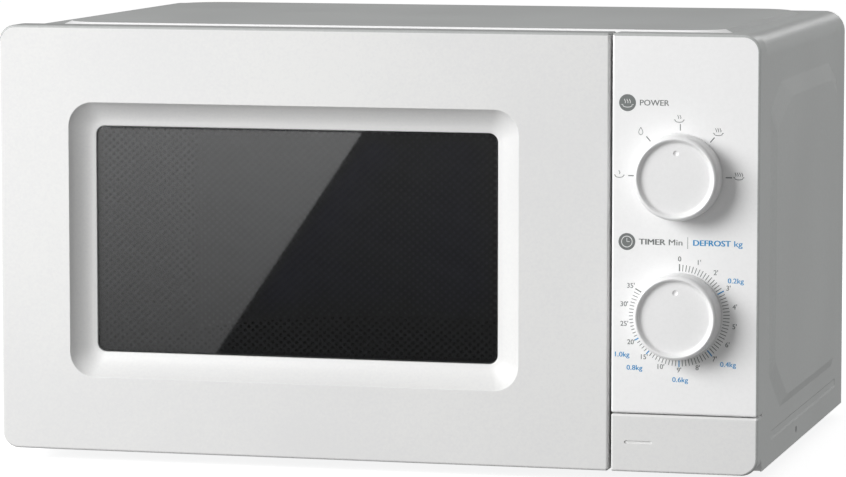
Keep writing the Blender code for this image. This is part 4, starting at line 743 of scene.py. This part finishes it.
fitted(eased("choke_cover", 0.0003), "choke_frame", white_abs, "door", "choke_cover", slot="white_abs")
fitted(eased("latch_hook", 0.0003), "latch_bar", nylon, "latch", "latch_hook", slot="nylon")
low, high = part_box("latch_spring")
latch_axis = middle("latch_spring")[:2]
latch_coil = spring("latch_coil", latch_axis, "Z", low.z, high.z, radius=0.0019, thickness=0.0003, turns=9)
fitted(latch_coil, "latch_coil", bright_steel, "door", "latch_spring", slot="steel", angle=60)
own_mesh(latch_coil)

# ---- Control panel ---------------------------------------------------------------------------
# White ABS moulding beside the door, hollow at the back, with holes for the two dial shafts and a
# web at its foot that the door button's spring pushes against.

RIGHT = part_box("control_panel")[1].x
PANEL_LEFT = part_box("control_panel")[0].x
BUTTON_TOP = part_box("release_button")[1].z
PANEL_BOTTOM = BUTTON_TOP + 2 * CLEAR
PANEL_WALL = 0.0025
DIAL_X, _, POWER_Z = middle("power_knob")
TIMER_Z = middle("timer_knob")[2]
STEM_X = PANEL_LEFT + 0.0050
WEB_FRONT = FRAME_BACK - 0.0020


def hollow_of(low, high, radii, wall, back):
    """The space inside a moulding, from its front wall out through the back."""
    corners = [(low[0] + wall, low[1] + wall), (high[0] - wall, high[1] - wall)]
    x = (corners[0][0], corners[1][0])
    z = (corners[0][1], corners[1][1])
    y = FACE + PANEL_WALL
    return prism([(x[0], y, z[0]), (x[1], y, z[0]), (x[1], y, z[1]), (x[0], y, z[1])],
                 [max(radius - wall, 0.0002) for radius in radii], (0, back - y, 0))


panel_ends = ((PANEL_LEFT, PANEL_BOTTOM), (RIGHT, TOP))
panel_radii = (SEAM_CORNER, SEAM_CORNER, CORNER, SEAM_CORNER)
panel = front_moulding(*panel_ends, panel_radii, FRAME_BACK)
carve(panel, [hollow_of(*panel_ends, panel_radii, PANEL_WALL, FRAME_BACK + 0.0010)])
carve(panel, [slab((PANEL_LEFT + 0.0006, WEB_FRONT, BOTTOM + 0.0008),
                   (RIGHT - 0.0008, FRAME_BACK - 0.0002, PANEL_BOTTOM + 0.0020))], "UNION")
ways = [slab((STEM_X - 0.0036, WEB_FRONT - 0.0010, BOTTOM + 0.0092),
             (STEM_X + 0.0036, FRAME_BACK + 0.0010, BOTTOM + 0.0164))]
ways += [bar(0.0045, (DIAL_X, FACE - 0.0010, z), (DIAL_X, FACE + 0.0040, z), 32) for z in (POWER_Z, TIMER_Z)]
carve(panel, ways)
# The panel's face is the door's white ABS made a shade whiter, as painted light, and a little smoother.
panel_white_painted_light = coated("brightened_white_abs", "#f8f8f8", "#f5f5f5", 0.36, 0.0012, 0.000004)
fitted(panel, "fascia", panel_white_painted_light, "root", "control_panel", slot="white_abs", angle=28)
grey_sides_and_painted_shade(panel)
side_lit.objects.link(panel)

# ---- Door button -----------------------------------------------------------------------------
# A wide white ABS key across the foot of the panel, with a shallow pressed mark. Its stem passes
# through the front plate and carries the ramp that lifts the latch slide; a spring returns it.

BUTTON_TRAVEL = 0.0040
KEY_WALL = 0.0022
key_ends = ((PANEL_LEFT, BOTTOM), (RIGHT, BUTTON_TOP))
key_radii = (SEAM_CORNER, CORNER, SEAM_CORNER, SEAM_CORNER)
key_back = WEB_FRONT - BUTTON_TRAVEL - CLEAR
key = front_moulding(*key_ends, key_radii, key_back)
carve(key, [hollow_of(*key_ends, key_radii, KEY_WALL, key_back + 0.0010)])
HOOK_X = middle("release_slide")[0]
SLIDE_THICKNESS = 0.0040
SLIDE_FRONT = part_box("release_slide")[1].y - SLIDE_THICKNESS
SLIDE_BACK = SLIDE_FRONT + SLIDE_THICKNESS
ramp_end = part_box("release_button")[1].y
ramp_start = SLIDE_FRONT - BUTTON_TRAVEL
ramp_foot, ramp_top = BOTTOM + 0.0095, BOTTOM + 0.0240
ramp = prism([(HOOK_X - 0.0030, ramp_start, ramp_foot), (HOOK_X - 0.0030, ramp_end, ramp_foot),
              (HOOK_X - 0.0030, ramp_end, ramp_top + SLIDE_FRONT - ramp_end),
              (HOOK_X - 0.0030, ramp_start, ramp_top + BUTTON_TRAVEL)], [], (0.0060, 0, 0))
stem = slab((STEM_X - 0.0026, FACE + 0.0015, BOTTOM + 0.0102), (STEM_X + 0.0026, ramp_end, BOTTOM + 0.0154))
arm = slab((HOOK_X - 0.0025, SLIDE_BACK + 0.0010, BOTTOM + 0.0100),
           (STEM_X + 0.0020, SLIDE_BACK + 0.0058, BOTTOM + 0.0140))
carve(key, [stem, arm, ramp], "UNION")
mark_low, mark_high = (PANEL_LEFT + 0.0075, BOTTOM + 0.0158), (PANEL_LEFT + 0.0233, BOTTOM + 0.0175)
mark = prism([(mark_low[0], FACE - 0.0010, mark_low[1]), (mark_high[0], FACE - 0.0010, mark_low[1]),
              (mark_high[0], FACE - 0.0010, mark_high[1]), (mark_low[0], FACE - 0.0010, mark_high[1])],
             [0.0008] * 4, (0, 0.0016, 0))
carve(key, [mark])
fitted(key, "door_key", white_abs, "button", "release_button", slot="white_abs", angle=28)
grey_sides_and_painted_shade(key)
side_lit.objects.link(key)
low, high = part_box("button_spring")
coil_x, _, coil_z = middle("button_spring")
key_coil = spring("key_coil", (coil_x, coil_z), "Y", low.y, high.y, radius=0.0040, thickness=0.0004, turns=6)
fitted(key_coil, "key_coil", bright_steel, "root", "button_spring", slot="steel", angle=60)
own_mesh(key_coil)

# ---- Dials -----------------------------------------------------------------------------------
# Two moulded knobs pushed on steel shafts. Each has a dished top inside a rounded rim, a skirt
# that stands just off the panel, and a dimple that points at the scale.

KNOB_RADIUS = 0.0238
KNOB_HEIGHT = 0.0145
SHAFT_RADIUS = 0.0030
DIMPLE_REACH = 0.0138

# ABS again, from a polished tool: the same white with more gloss.
gloss_abs = coated("polished_white_abs", "#f2f2f2", "#efefef", 0.30, 0.0014, 0.000003)


def turned(profile, place, axis="Z", turns=96, ring=False):
    """A profile of radius and place along the axis, turned round it. A ring's profile is closed."""
    sketch([(radius, 0, along) for radius, along in profile], close=ring)
    edit_all()
    if ring:
        bpy.ops.mesh.delete(type="ONLY_FACE")
        bpy.ops.mesh.select_all(action="SELECT")
    bpy.ops.mesh.spin(steps=turns, angle=2 * math.pi, center=(0, 0, 0), axis=(0, 0, 1))
    bpy.ops.mesh.select_all(action="SELECT")
    bpy.ops.mesh.remove_doubles(threshold=TINY * 0.3)
    bpy.ops.mesh.normals_make_consistent(inside=False)
    bpy.ops.object.mode_set(mode="OBJECT")
    piece = bpy.context.object
    piece.rotation_euler = {"Z": (0, 0, 0), "Y": (-math.pi / 2, 0, 0), "X": (0, math.pi / 2, 0)}[axis]
    piece.location = place
    bpy.ops.object.transform_apply(location=True, rotation=True, scale=True)
    return piece


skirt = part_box("power_knob")[1].y
crown = FACE - KNOB_HEIGHT
dish = crown + 0.0025
wall = KNOB_RADIUS
knob_profile = [
    (0, dish - 0.0003), (0.0090, dish - 0.0002), (wall - 0.0056, dish), (wall - 0.0046, dish - 0.0001),
    (wall - 0.0040, dish - 0.0004), (wall - 0.0036, dish - 0.0009), (wall - 0.0032, crown + 0.0009),
    (wall - 0.0029, crown + 0.0004), (wall - 0.0025, crown + 0.0001), (wall - 0.0021, crown),
    (wall - 0.0016, crown + 0.0002), (wall - 0.0011, crown + 0.0006), (wall - 0.0007, crown + 0.0012),
    (wall - 0.0004, crown + 0.0022), (wall - 0.0003, crown + 0.0036), (wall - 0.0002, crown + 0.0060),
    (wall - 0.0001, skirt - 0.0012), (wall, skirt - 0.0004), (wall - 0.0001, skirt - 0.0001),
    (wall - 0.0004, skirt), (wall - 0.0018, skirt), (wall - 0.0022, crown + 0.0060),
    (wall - 0.0060, dish + 0.0016), (0.0058, dish + 0.0016), (0.0055, skirt),
    (SHAFT_RADIUS + CLEAR, skirt), (SHAFT_RADIUS + CLEAR, dish + 0.0020), (0, dish + 0.0020),
]
for name, z in (("power", POWER_Z), ("timer", TIMER_Z)):
    knob = turned(knob_profile, (DIAL_X, 0, z), "Y")
    bpy.ops.mesh.primitive_uv_sphere_add(segments=32, ring_count=20, radius=0.0022,
                                         location=(DIAL_X, dish - 0.0016, z + DIMPLE_REACH))
    carve(knob, [bpy.context.object])
    fitted(knob, f"{name}_dial", gloss_abs, f"{name}_dial", f"{name}_knob", slot="white_abs", angle=32)

# ---- Printed scales --------------------------------------------------------------------------
# Pad-printed ink on the panel: ticks and numbers round the dials, small pictures of a bowl with
# more and more steam for the power, and plain words for what each dial does.

INK = 0.00005
STEAM_LINE = 0.00042
NUMBER_SIZE, WORD_SIZE, UNIT_SIZE = 0.0039, 0.0045, 0.0046
GREY_PARTS, BLUE_PARTS, WHITE_PARTS = [], [], []

# Pad-printing inks, matt and a little uneven where the pad lifted.
grey_ink = coated("grey_pad_ink", "#6e7271", "#767a79", 0.55, 0.0004, 0.000002, fleck=0.0004)
blue_ink = coated("blue_pad_ink", "#0a8cc8", "#1890ca", 0.55, 0.0004, 0.000002, fleck=0.0004)
white_ink = coated("white_pad_ink", "#f0f0f0", "#e6e6e6", 0.55, 0.0004, 0.000002, fleck=0.0004)


def flat_on_panel(piece):
    """Press a mark down to the thickness of ink, on the panel's face."""
    take(piece)
    bpy.ops.object.transform_apply(location=True, rotation=True, scale=True)
    for vertex in piece.data.vertices:
        vertex.co.y = FACE - INK if vertex.co.y < FACE else FACE + INK * 0.4
    return piece


def stroke(points, width):
    """A printed line through points given as x and z."""
    return flat_on_panel(wire("ink", [(x, FACE, z) for x, z in points], width / 2, 1))


def word(text, x, z, size, across="CENTER", weight=0.00004, stretch=1.0):
    """A printed word or number; z is the middle of its height. Its weight sets two copies aside."""
    line = bpy.data.curves.new("ink", "FONT")
    line.body = text
    line.size = size
    line.align_x = across
    line.align_y = "CENTER"
    line.extrude = INK * 2
    line.resolution_u = 3
    made = bpy.data.objects.new("ink", line)
    bpy.context.scene.collection.objects.link(made)
    take(made)
    bpy.ops.object.convert(target="MESH")
    made = bpy.context.object
    made.rotation_euler = (math.pi / 2, 0, 0)
    made.scale.x = stretch
    made.location = (x, FACE - INK * 0.1, z)
    flat_on_panel(made)
    copies = made.modifiers.new("heavier", "ARRAY")
    copies.count = 3
    copies.use_relative_offset = False
    copies.use_constant_offset = True
    copies.constant_offset_displace = (weight, -INK * 0.02, 0)
    bpy.ops.object.modifier_apply(modifier=copies.name)
    return made


def spoke(z, degrees, inner, outer, width):
    """A tick that points away from a dial."""
    turn = math.radians(degrees)
    ends = [(DIAL_X + reach * math.sin(turn), z + reach * math.cos(turn)) for reach in (inner, outer)]
    return stroke(ends, width)


def bowl(x, z, width, steam, line):
    """A bowl with some lines of steam, as strokes."""
    half = width / 2
    cup = [(x + half * math.cos(turn), z - half * 0.55 * abs(math.sin(turn)) ** 0.6)
           for turn in [math.pi + math.pi * i / 10 for i in range(11)]]
    marks = [stroke([(cup[0][0] - half * 0.3, z)] + cup + [(cup[-1][0] + half * 0.3, z)], line)]
    for i in range(steam):
        column = x + (i - (steam - 1) / 2) * width * 0.27
        rise = [(column + width * 0.06 * math.sin(2 * math.pi * k / 6), z + width * (0.14 + 0.09 * k))
                for k in range(6)]
        marks.append(stroke(rise, line))
    return marks


TICK_START = KNOB_RADIUS + 0.0008
for degrees in (-90, -41, 0, 41, 90):
    GREY_PARTS.append(spoke(POWER_Z, degrees, TICK_START + 0.0008, 0.0290, 0.00065))
bowl_places = ((-0.0340, 0.0002), (-0.0006, 0.0312), (0.0211, 0.0243), (0.0327, 0.0002))
for steam, (x, z) in enumerate(bowl_places, start=1):
    GREY_PARTS += bowl(DIAL_X + x, POWER_Z + z, 0.0046, steam, STEAM_LINE)
drop = [(0, 0.0024), (0.0009, 0.0008), (0.0012, -0.0004), (0.0008, -0.0014), (0, -0.0018), (-0.0008, -0.0014),
        (-0.0012, -0.0004), (-0.0009, 0.0008), (0, 0.0024)]
GREY_PARTS.append(stroke([(DIAL_X - 0.0221 + x, POWER_Z + 0.0244 + z) for x, z in drop], 0.00034))

for degrees in range(0, 301, 4):
    if degrees in (0, 300):
        GREY_PARTS.append(spoke(TIMER_Z, degrees, TICK_START, 0.0285, 0.00080))
    elif degrees in (60, 140, 180, 220, 240):
        BLUE_PARTS.append(spoke(TIMER_Z, degrees, TICK_START, 0.0286, 0.00075))
    else:
        GREY_PARTS.append(spoke(TIMER_Z, degrees, TICK_START, 0.0282, 0.00046))
minutes = [(0, "0")] + [(20 * i, f"{i}'") for i in range(1, 11)]
minutes += [(220, "15'"), (240, "20'"), (260, "25'"), (280, "30'"), (300, "35'")]
for degrees, text in minutes:
    turn = math.radians(degrees)
    reach = 0.0308 + 0.0004 * math.cos(turn) + 0.0006 * abs(math.sin(turn))
    x, z = DIAL_X + reach * math.sin(turn), TIMER_Z + reach * math.cos(turn)
    GREY_PARTS.append(word(text, x, z, NUMBER_SIZE))
weights = ((0.0313, 0.0198), (0.0273, -0.0265), (0.0006, -0.0358), (-0.0251, -0.0298), (-0.0324, -0.0226))
for number, (x, z) in enumerate(weights):
    text = f"{0.2 * (number + 1):.1f}kg"
    BLUE_PARTS.append(word(text, DIAL_X + x, TIMER_Z + z, NUMBER_SIZE, weight=0.00006, stretch=1.08))

HEADER_RISE = 0.0402
POWER_HEADER, TIMER_HEADER = POWER_Z + HEADER_RISE, TIMER_Z + HEADER_RISE
BADGE_X = DIAL_X - 0.0296
BADGE_RADIUS = 0.0047
CLOCK_RADIUS = 0.0030
CLOCK_LINE = 0.00045
for z in (POWER_HEADER, TIMER_HEADER):
    badge = bar(BADGE_RADIUS, (BADGE_X, FACE - INK, z), (BADGE_X, FACE + INK, z), 48)
    GREY_PARTS.append(flat_on_panel(badge))
WHITE_PARTS += bowl(BADGE_X, POWER_HEADER - 0.0010, 0.0052, 3, STEAM_LINE)
turns_round = [math.pi * i / 12 for i in range(25)]
clock_ring = [(BADGE_X + CLOCK_RADIUS * math.cos(turn), TIMER_HEADER + CLOCK_RADIUS * math.sin(turn))
              for turn in turns_round]
clock_hands = [(BADGE_X, TIMER_HEADER + 0.0020), (BADGE_X, TIMER_HEADER), (BADGE_X + 0.0015, TIMER_HEADER)]
WHITE_PARTS += [stroke(points, CLOCK_LINE) for points in (clock_ring, clock_hands)]

WORD_LEFT = DIAL_X - 0.0230
GREY_PARTS.append(word("POWER", WORD_LEFT, POWER_HEADER, WORD_SIZE, "LEFT", 0.00006, 1.06))
GREY_PARTS.append(word("TIMER", WORD_LEFT, TIMER_HEADER, WORD_SIZE, "LEFT", 0.00016, 1.20))
GREY_PARTS.append(word("Min", DIAL_X - 0.0065, TIMER_HEADER, UNIT_SIZE, "LEFT", 0.00004, 1.20))
divider = [(DIAL_X + 0.0045, TIMER_HEADER + rise) for rise in (-0.0032, 0.0032)]
GREY_PARTS.append(stroke(divider, 0.00034))
BLUE_PARTS.append(word("DEFROST", DIAL_X + 0.0071, TIMER_HEADER, WORD_SIZE, "LEFT", 0.00016, 1.12))
BLUE_PARTS.append(word("kg", DIAL_X + 0.0300, TIMER_HEADER, UNIT_SIZE, "LEFT", 0.00006, 1.2))
for marks, name, ink in ((GREY_PARTS, "grey_print", grey_ink), (BLUE_PARTS, "blue_print", blue_ink),
                         (WHITE_PARTS, "white_print", white_ink)):
    bpy.ops.object.select_all(action="DESELECT")
    for mark in marks:
        mark.select_set(True)
    bpy.context.view_layer.objects.active = marks[0]
    bpy.ops.object.join()
    fitted(marks[0], name, ink, "root", slot="white_abs")
    if ink is white_ink:
        marks[0].data.transform(Matrix.Translation((0, -INK * 0.6, 0)))

# ---- Cooking box -----------------------------------------------------------------------------
# Welded from steel sheet with rounded inside corners and sprayed with a flecked grey enamel. Its
# walls have the lamp's and the air's perforations and the port that the microwaves come through.

# Cavity enamel: pale grey, satin, with fine darker flecks about 1.5 mm apart.
cavity_enamel = coated("flecked_grey_enamel", "#c4c7c6", "#aeb1b1", 0.35, 0.0020, 0.000012, fleck=0.0008)

box_low, box_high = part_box("cavity_shell")
inner_low = Vector((box_low.x + SHEET, box_low.y, box_low.z + SHEET))
inner_high = Vector((box_high.x - SHEET, box_high.y - SHEET, box_high.z - SHEET))
oven = slab(inner_low, inner_high)
pick("EDGE", lambda a, b: abs(a.y - b.y) > 0.1 or min(a.y, b.y) > inner_high.y - TINY)
bpy.ops.mesh.bevel(offset=0.0050, segments=6, affect="EDGES")
pick("FACE", lambda centre, normal: normal.y < -0.9)
bpy.ops.mesh.delete(type="FACE")
bpy.ops.object.mode_set(mode="OBJECT")
sheet_wall = oven.modifiers.new("wall", "SOLIDIFY")
sheet_wall.thickness = SHEET
sheet_wall.offset = 1
bpy.ops.object.modifier_apply(modifier=sheet_wall.name)
tray_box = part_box("glass_tray")
TURN = Vector((*middle("glass_tray")[:2], 0))
_, port_y, port_z = middle("waveguide")
openings = [bar(0.0060, (TURN.x, TURN.y, box_low.z - 0.0020), (TURN.x, TURN.y, box_low.z + 0.0020), 32),
            slab((inner_high.x - 0.0020, port_y - 0.0300, port_z - 0.0150),
                 (box_high.x + 0.0020, port_y + 0.0300, port_z + 0.0150))]
hole_patches = ((inner_high.x, FACE + 0.2000, BOTTOM + 0.2120), (inner_low.x, FACE + 0.0700, BOTTOM + 0.1900))
for wall_x, y, z in hole_patches:
    for row in range(3):
        for column in range(3):
            place = Vector((wall_x, y + 0.0065 * (column - 1), z + 0.0065 * (row - 1)))
            openings.append(bar(0.0022, place - Vector((0.0030, 0, 0)), place + Vector((0.0030, 0, 0)), 12))
carve(oven, openings)
fitted(oven, "oven_box", cavity_enamel, "root", "cavity_shell", slot="cavity_paint")

# ---- Turntable -------------------------------------------------------------------------------
# A pressed glass tray with a raised rim rides on three nylon rollers in a ring, and a three-armed
# nylon driver on the motor's spindle turns it by the lugs under its middle.

# Soda-lime glass, pressed and fire polished: clear with a faint green cast and soft ripples.
tray_glass, tree, shader = surface("pressed_clear_glass", "#e6f0ea", 0.04, IOR=1.52, Transmission_Weight=1.0)
place = add(tree, "TexCoord").outputs["Object"]
ripple = add(tree, "TexNoise", {"Vector": place, "Scale": 60.0, "Detail": 2.0})
wave = add(tree, "Bump", {"Height": ripple.outputs[0], "Distance": 0.0002, "Strength": 0.5})
gloss = add(tree, "MapRange", {"Value": ripple.outputs[0], "To Min": 0.02, "To Max": 0.08})
tree.links.new(wave.outputs[0], shader.inputs["Normal"])
tree.links.new(gloss.outputs[0], shader.inputs["Roughness"])

radius = (tray_box[1].x - tray_box[0].x) / 2
lug_foot = tray_box[0].z
base = lug_foot + 0.0050
rim_top = tray_box[1].z
bends = [math.pi / 2 * i / 8 for i in range(9)]
tray_profile = [(0, base), (radius - 0.0200, base), (radius - 0.0170, base + 0.0003)]
tray_profile += [(radius - 0.0160 + 0.0150 * math.sin(bend),
                  rim_top - 0.0012 - (rim_top - 0.0018 - base) * math.cos(bend)) for bend in bends]
tray_profile += [(radius, rim_top - 0.0009), (radius - 0.0001, rim_top - 0.0003), (radius - 0.0006, rim_top),
                 (radius - 0.0015, rim_top - 0.0001), (radius - 0.0030, rim_top - 0.0006)]
tray_profile += [(radius - 0.0045 - 0.0150 * math.sin(bend),
                  base + 0.0040 + (rim_top - base - 0.0052) * (1 - math.sin(bend))) for bend in bends]
tray_profile += [(radius - 0.0225, base + 0.0040), (0, base + 0.0040)]
tray = turned(tray_profile, (TURN.x, TURN.y, 0), turns=128)
lugs = []
for i in range(3):
    lug = slab((0.0095, -0.0030, lug_foot), (0.0140, 0.0030, base + 0.0010))
    lug.data.transform(Matrix.Translation(TURN) @ Matrix.Rotation(2 * math.pi * (i + 0.5) / 3, 4, "Z"))
    lugs.append(lug)
carve(tray, lugs, "UNION")
fitted(tray, "turning_tray", tray_glass, "tray", "glass_tray", slot="tray_glass")

axle_z = middle("roller_1")[2]
track = 0.0900
ring = turned([(track - 0.0120, axle_z - 0.0020), (track - 0.0115, axle_z - 0.0025),
               (track - 0.0055, axle_z - 0.0025), (track - 0.0050, axle_z - 0.0020),
               (track - 0.0050, axle_z + 0.0020), (track - 0.0055, axle_z + 0.0025),
               (track - 0.0115, axle_z + 0.0025), (track - 0.0120, axle_z + 0.0020)],
              TURN, turns=128, ring=True)
hub = TURN + Vector((0, 0, axle_z))
thirds = [2 * math.pi * i / 3 for i in range(3)]
outwards = [Vector((math.cos(third), math.sin(third), 0)) for third in thirds]
stubs = [bar(0.0012, hub + outward * (track - 0.0080), hub + outward * (track + 0.0040), 16)
         for outward in outwards]
carve(ring, stubs, "UNION")
fitted(ring, "roller_carrier", nylon, "ring", "roller_ring", slot="nylon")
half_roller = [(0.0016, 0.0028), (0.0018, 0.0030), (0.0030, 0.0030), (0.0034, 0.0026), (0.0056, 0.0026),
               (0.0060, 0.0030), (0.0072, 0.0030), (0.0079, 0.0024), (0.0080, 0.0018)]
roller_profile = [(reach, -along) for reach, along in half_roller] + half_roller[::-1]
for i in range(3):
    wheel = turned(roller_profile, (0, 0, 0), "X", 48, ring=True)
    wheel.data.transform(Matrix.Translation(hub + outwards[i] * track) @ Matrix.Rotation(thirds[i], 4, "Z"))
    fitted(wheel, f"track_roller_{i + 1}", nylon, f"roller_{i + 1}", f"roller_{i + 1}", slot="nylon")
fitted(eased("turntable_coupler", 0.0004), "tray_driver", nylon, "coupler", "turntable_coupler", slot="nylon")

# ---- Back, feet and cord bush ----------------------------------------------------------------
# Sheet-metal screws hold the rear panel. Four rubber feet are pressed into the base plate, and a
# black moulded bush lines the hole where a mains lead would leave.

# Moulded rubber: nearly black, dull and dusty.
rubber = coated("moulded_black_rubber", "#242424", "#1c1c1c", 0.75, 0.0008, 0.000012)
# Polyamide coloured black, with a spark-eroded grain.
black_plastic = coated("grained_black_plastic", "#202021", "#19191a", 0.48, 0.0009, 0.000010)

for number in range(1, 5):
    low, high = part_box(f"foot_{number}")
    foot_at = Vector((*middle(f"foot_{number}")[:2], 0))
    wide, top = (high.x - low.x) / 2, high.z
    foot = turned([(0, 0.0008), (0.0035, 0.0008), (0.0042, 0), (wide - 0.0026, 0), (wide - 0.0016, 0.0003),
                   (wide - 0.0010, 0.0010), (wide - 0.0003, top - 0.0012), (wide, top - 0.0006),
                   (wide, top), (0, top)], foot_at, turns=64)
    fitted(foot, f"rubber_foot_{number}", rubber, "root", f"foot_{number}", slot="rubber")

low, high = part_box("cord_gland")
bush_x, _, bush_z = middle("cord_gland")
bush = turned([(0.0035, low.y + 0.0004), (0.0039, low.y), (0.0060, low.y), (0.0060, BACK + CLEAR),
               (0.0090, BACK + CLEAR), (0.0090, BACK + 0.0012), (0.0086, high.y - 0.0004),
               (0.0080, high.y), (0.0042, high.y), (0.0037, high.y - 0.0003), (0.0035, high.y - 0.0009)],
              (bush_x, 0, bush_z), "Y", 48, ring=True)
fitted(bush, "cord_bush", black_plastic, "root", "cord_gland", slot="black_plastic")

# Zinc-plated steel screws: pan heads with a cross recess.
zinc = bare_metal("zinc_plated_steel", "#c4c6c8", "#a9acb0", 0.32, 0.0015, 2)
head = turned([(0, BACK - 0.0006), (0.0013, BACK - 0.0006), (0.0013, BACK), (0.0034, BACK),
               (0.0034, BACK + 0.0005), (0.0031, BACK + 0.0011), (0.0022, BACK + 0.0016),
               (0.0010, BACK + 0.0018), (0, BACK + 0.0018)], (0, 0, 0), "Y", 40)
SLOT_LONG, SLOT_WIDE = 0.0019, 0.00035
carve(head, [slab((-across, BACK + 0.0008, -up), (across, BACK + 0.0030, up))
             for across, up in ((SLOT_LONG, SLOT_WIDE), (SLOT_WIDE, SLOT_LONG))])
back_low, back_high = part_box("rear_panel")
SCREW_IN = 0.0075
left_and_right = (back_low.x + SCREW_IN, back_high.x - SCREW_IN)
spots = [(x, z) for x in left_and_right for z in (back_low.z + SCREW_IN, 0.13, back_high.z - 0.0160)]
spots += [(x, z) for z in (back_high.z - SCREW_IN, back_low.z + SCREW_IN) for x in (-0.06, 0.08)]
for number, (x, z) in enumerate(spots):
    screw = bpy.data.objects.new("screw", head.data.copy())
    bpy.context.scene.collection.objects.link(screw)
    screw.data.transform(Matrix.Translation((x, 0, z)) @ Matrix.Rotation(0.7 * number, 4, "Y"))
    fitted(screw, f"back_screw_{number + 1}", zinc, "root", slot="steel")
bpy.data.objects.remove(head)

# ---- Sheet metal and works -------------------------------------------------------------------
# Everything behind the panels keeps the shape it was designed with and gets its real finish:
# plated brackets, the laminated transformer, copper windings, the fan, the lamp and the switches.

fitted(eased("front_plate", 0.0002), "oven_front", cavity_enamel, "root", "front_plate", slot="cavity_paint")

# Aluminium, pressed or turned, with faint drawing lines.
aluminium = bare_metal("pressed_aluminium", "#d3d4d5", "#c2c3c5", 0.34, 0.0012, 3)
# Silicon steel sheets 0.5 mm thick, stacked and varnished: drawn as 2 mm bands so that they show.
laminated = bare_metal("laminated_core_steel", "#6d6f72", "#4b4c4f", 0.45, 0.0020, 30)
# Enamelled copper wire, 0.8 mm across, wound side by side.
windings, tree, shader = surface("enamelled_copper_wire", "#a4532a", 0.35, 1.0)
place = add(tree, "TexCoord").outputs["Object"]
turns_of_wire = add(tree, "TexWave", {"Vector": place, "Scale": 390.0, "Distortion": 0.4},
                    bands_direction="Z")
tint = add(tree, "Mix", {0: turns_of_wire.outputs["Fac"], 6: srgb("#7d3a1c"), 7: srgb("#b8653a")},
           data_type="RGBA")
bump = add(tree, "Bump", {"Height": turns_of_wire.outputs["Fac"], "Distance": 0.0003})
tree.links.new(tint.outputs[2], shader.inputs["Base Color"])
tree.links.new(bump.outputs[0], shader.inputs["Normal"])
# Mica board: pressed flakes, tan with a silvery grain.
mica = coated("pressed_mica_board", "#b9a98c", "#a18f70", 0.45, 0.0015, 0.000010, fleck=0.0012)
# Glass-fibre board with green solder resist.
board = coated("green_circuit_board", "#2f6b45", "#275c3b", 0.38, 0.0010, 0.000005)
# Frosted lamp glass.
lamp_glass = coated("frosted_lamp_glass", "#f3efe2", "#e9e4d4", 0.20, 0.0010, 0.000004)

finishes = {
    zinc: ("base_plate", "hinge_lower", "hinge_upper", "waveguide", "magnetron_yoke", "magnetron_filter",
           "fan_motor", "turntable_motor", "capacitor_strap"),
    powder_coat: ("rear_panel",),
    aluminium: ("magnetron_fins", "magnetron_antenna", "capacitor"),
    laminated: ("transformer_core",),
    windings: ("transformer_primary", "transformer_secondary"),
    mica: ("waveguide_cover",),
    board: ("filter_board",),
    lamp_glass: ("lamp_bulb",),
    nylon: ("fan_shroud", "air_duct", "fan_blade", "latch_board", "release_slide"),
    black_plastic: ("hv_diode", "lamp_holder", "thermal_cutout", "microswitch_lower", "microswitch_middle",
                    "microswitch_upper", "timer_unit", "power_selector"),
    bright_steel: ("power_shaft", "timer_shaft"),
}
for finish, nodes in finishes.items():
    for name in nodes:
        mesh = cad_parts[name].data
        mesh.materials.clear()
        mesh.materials.append(finish)
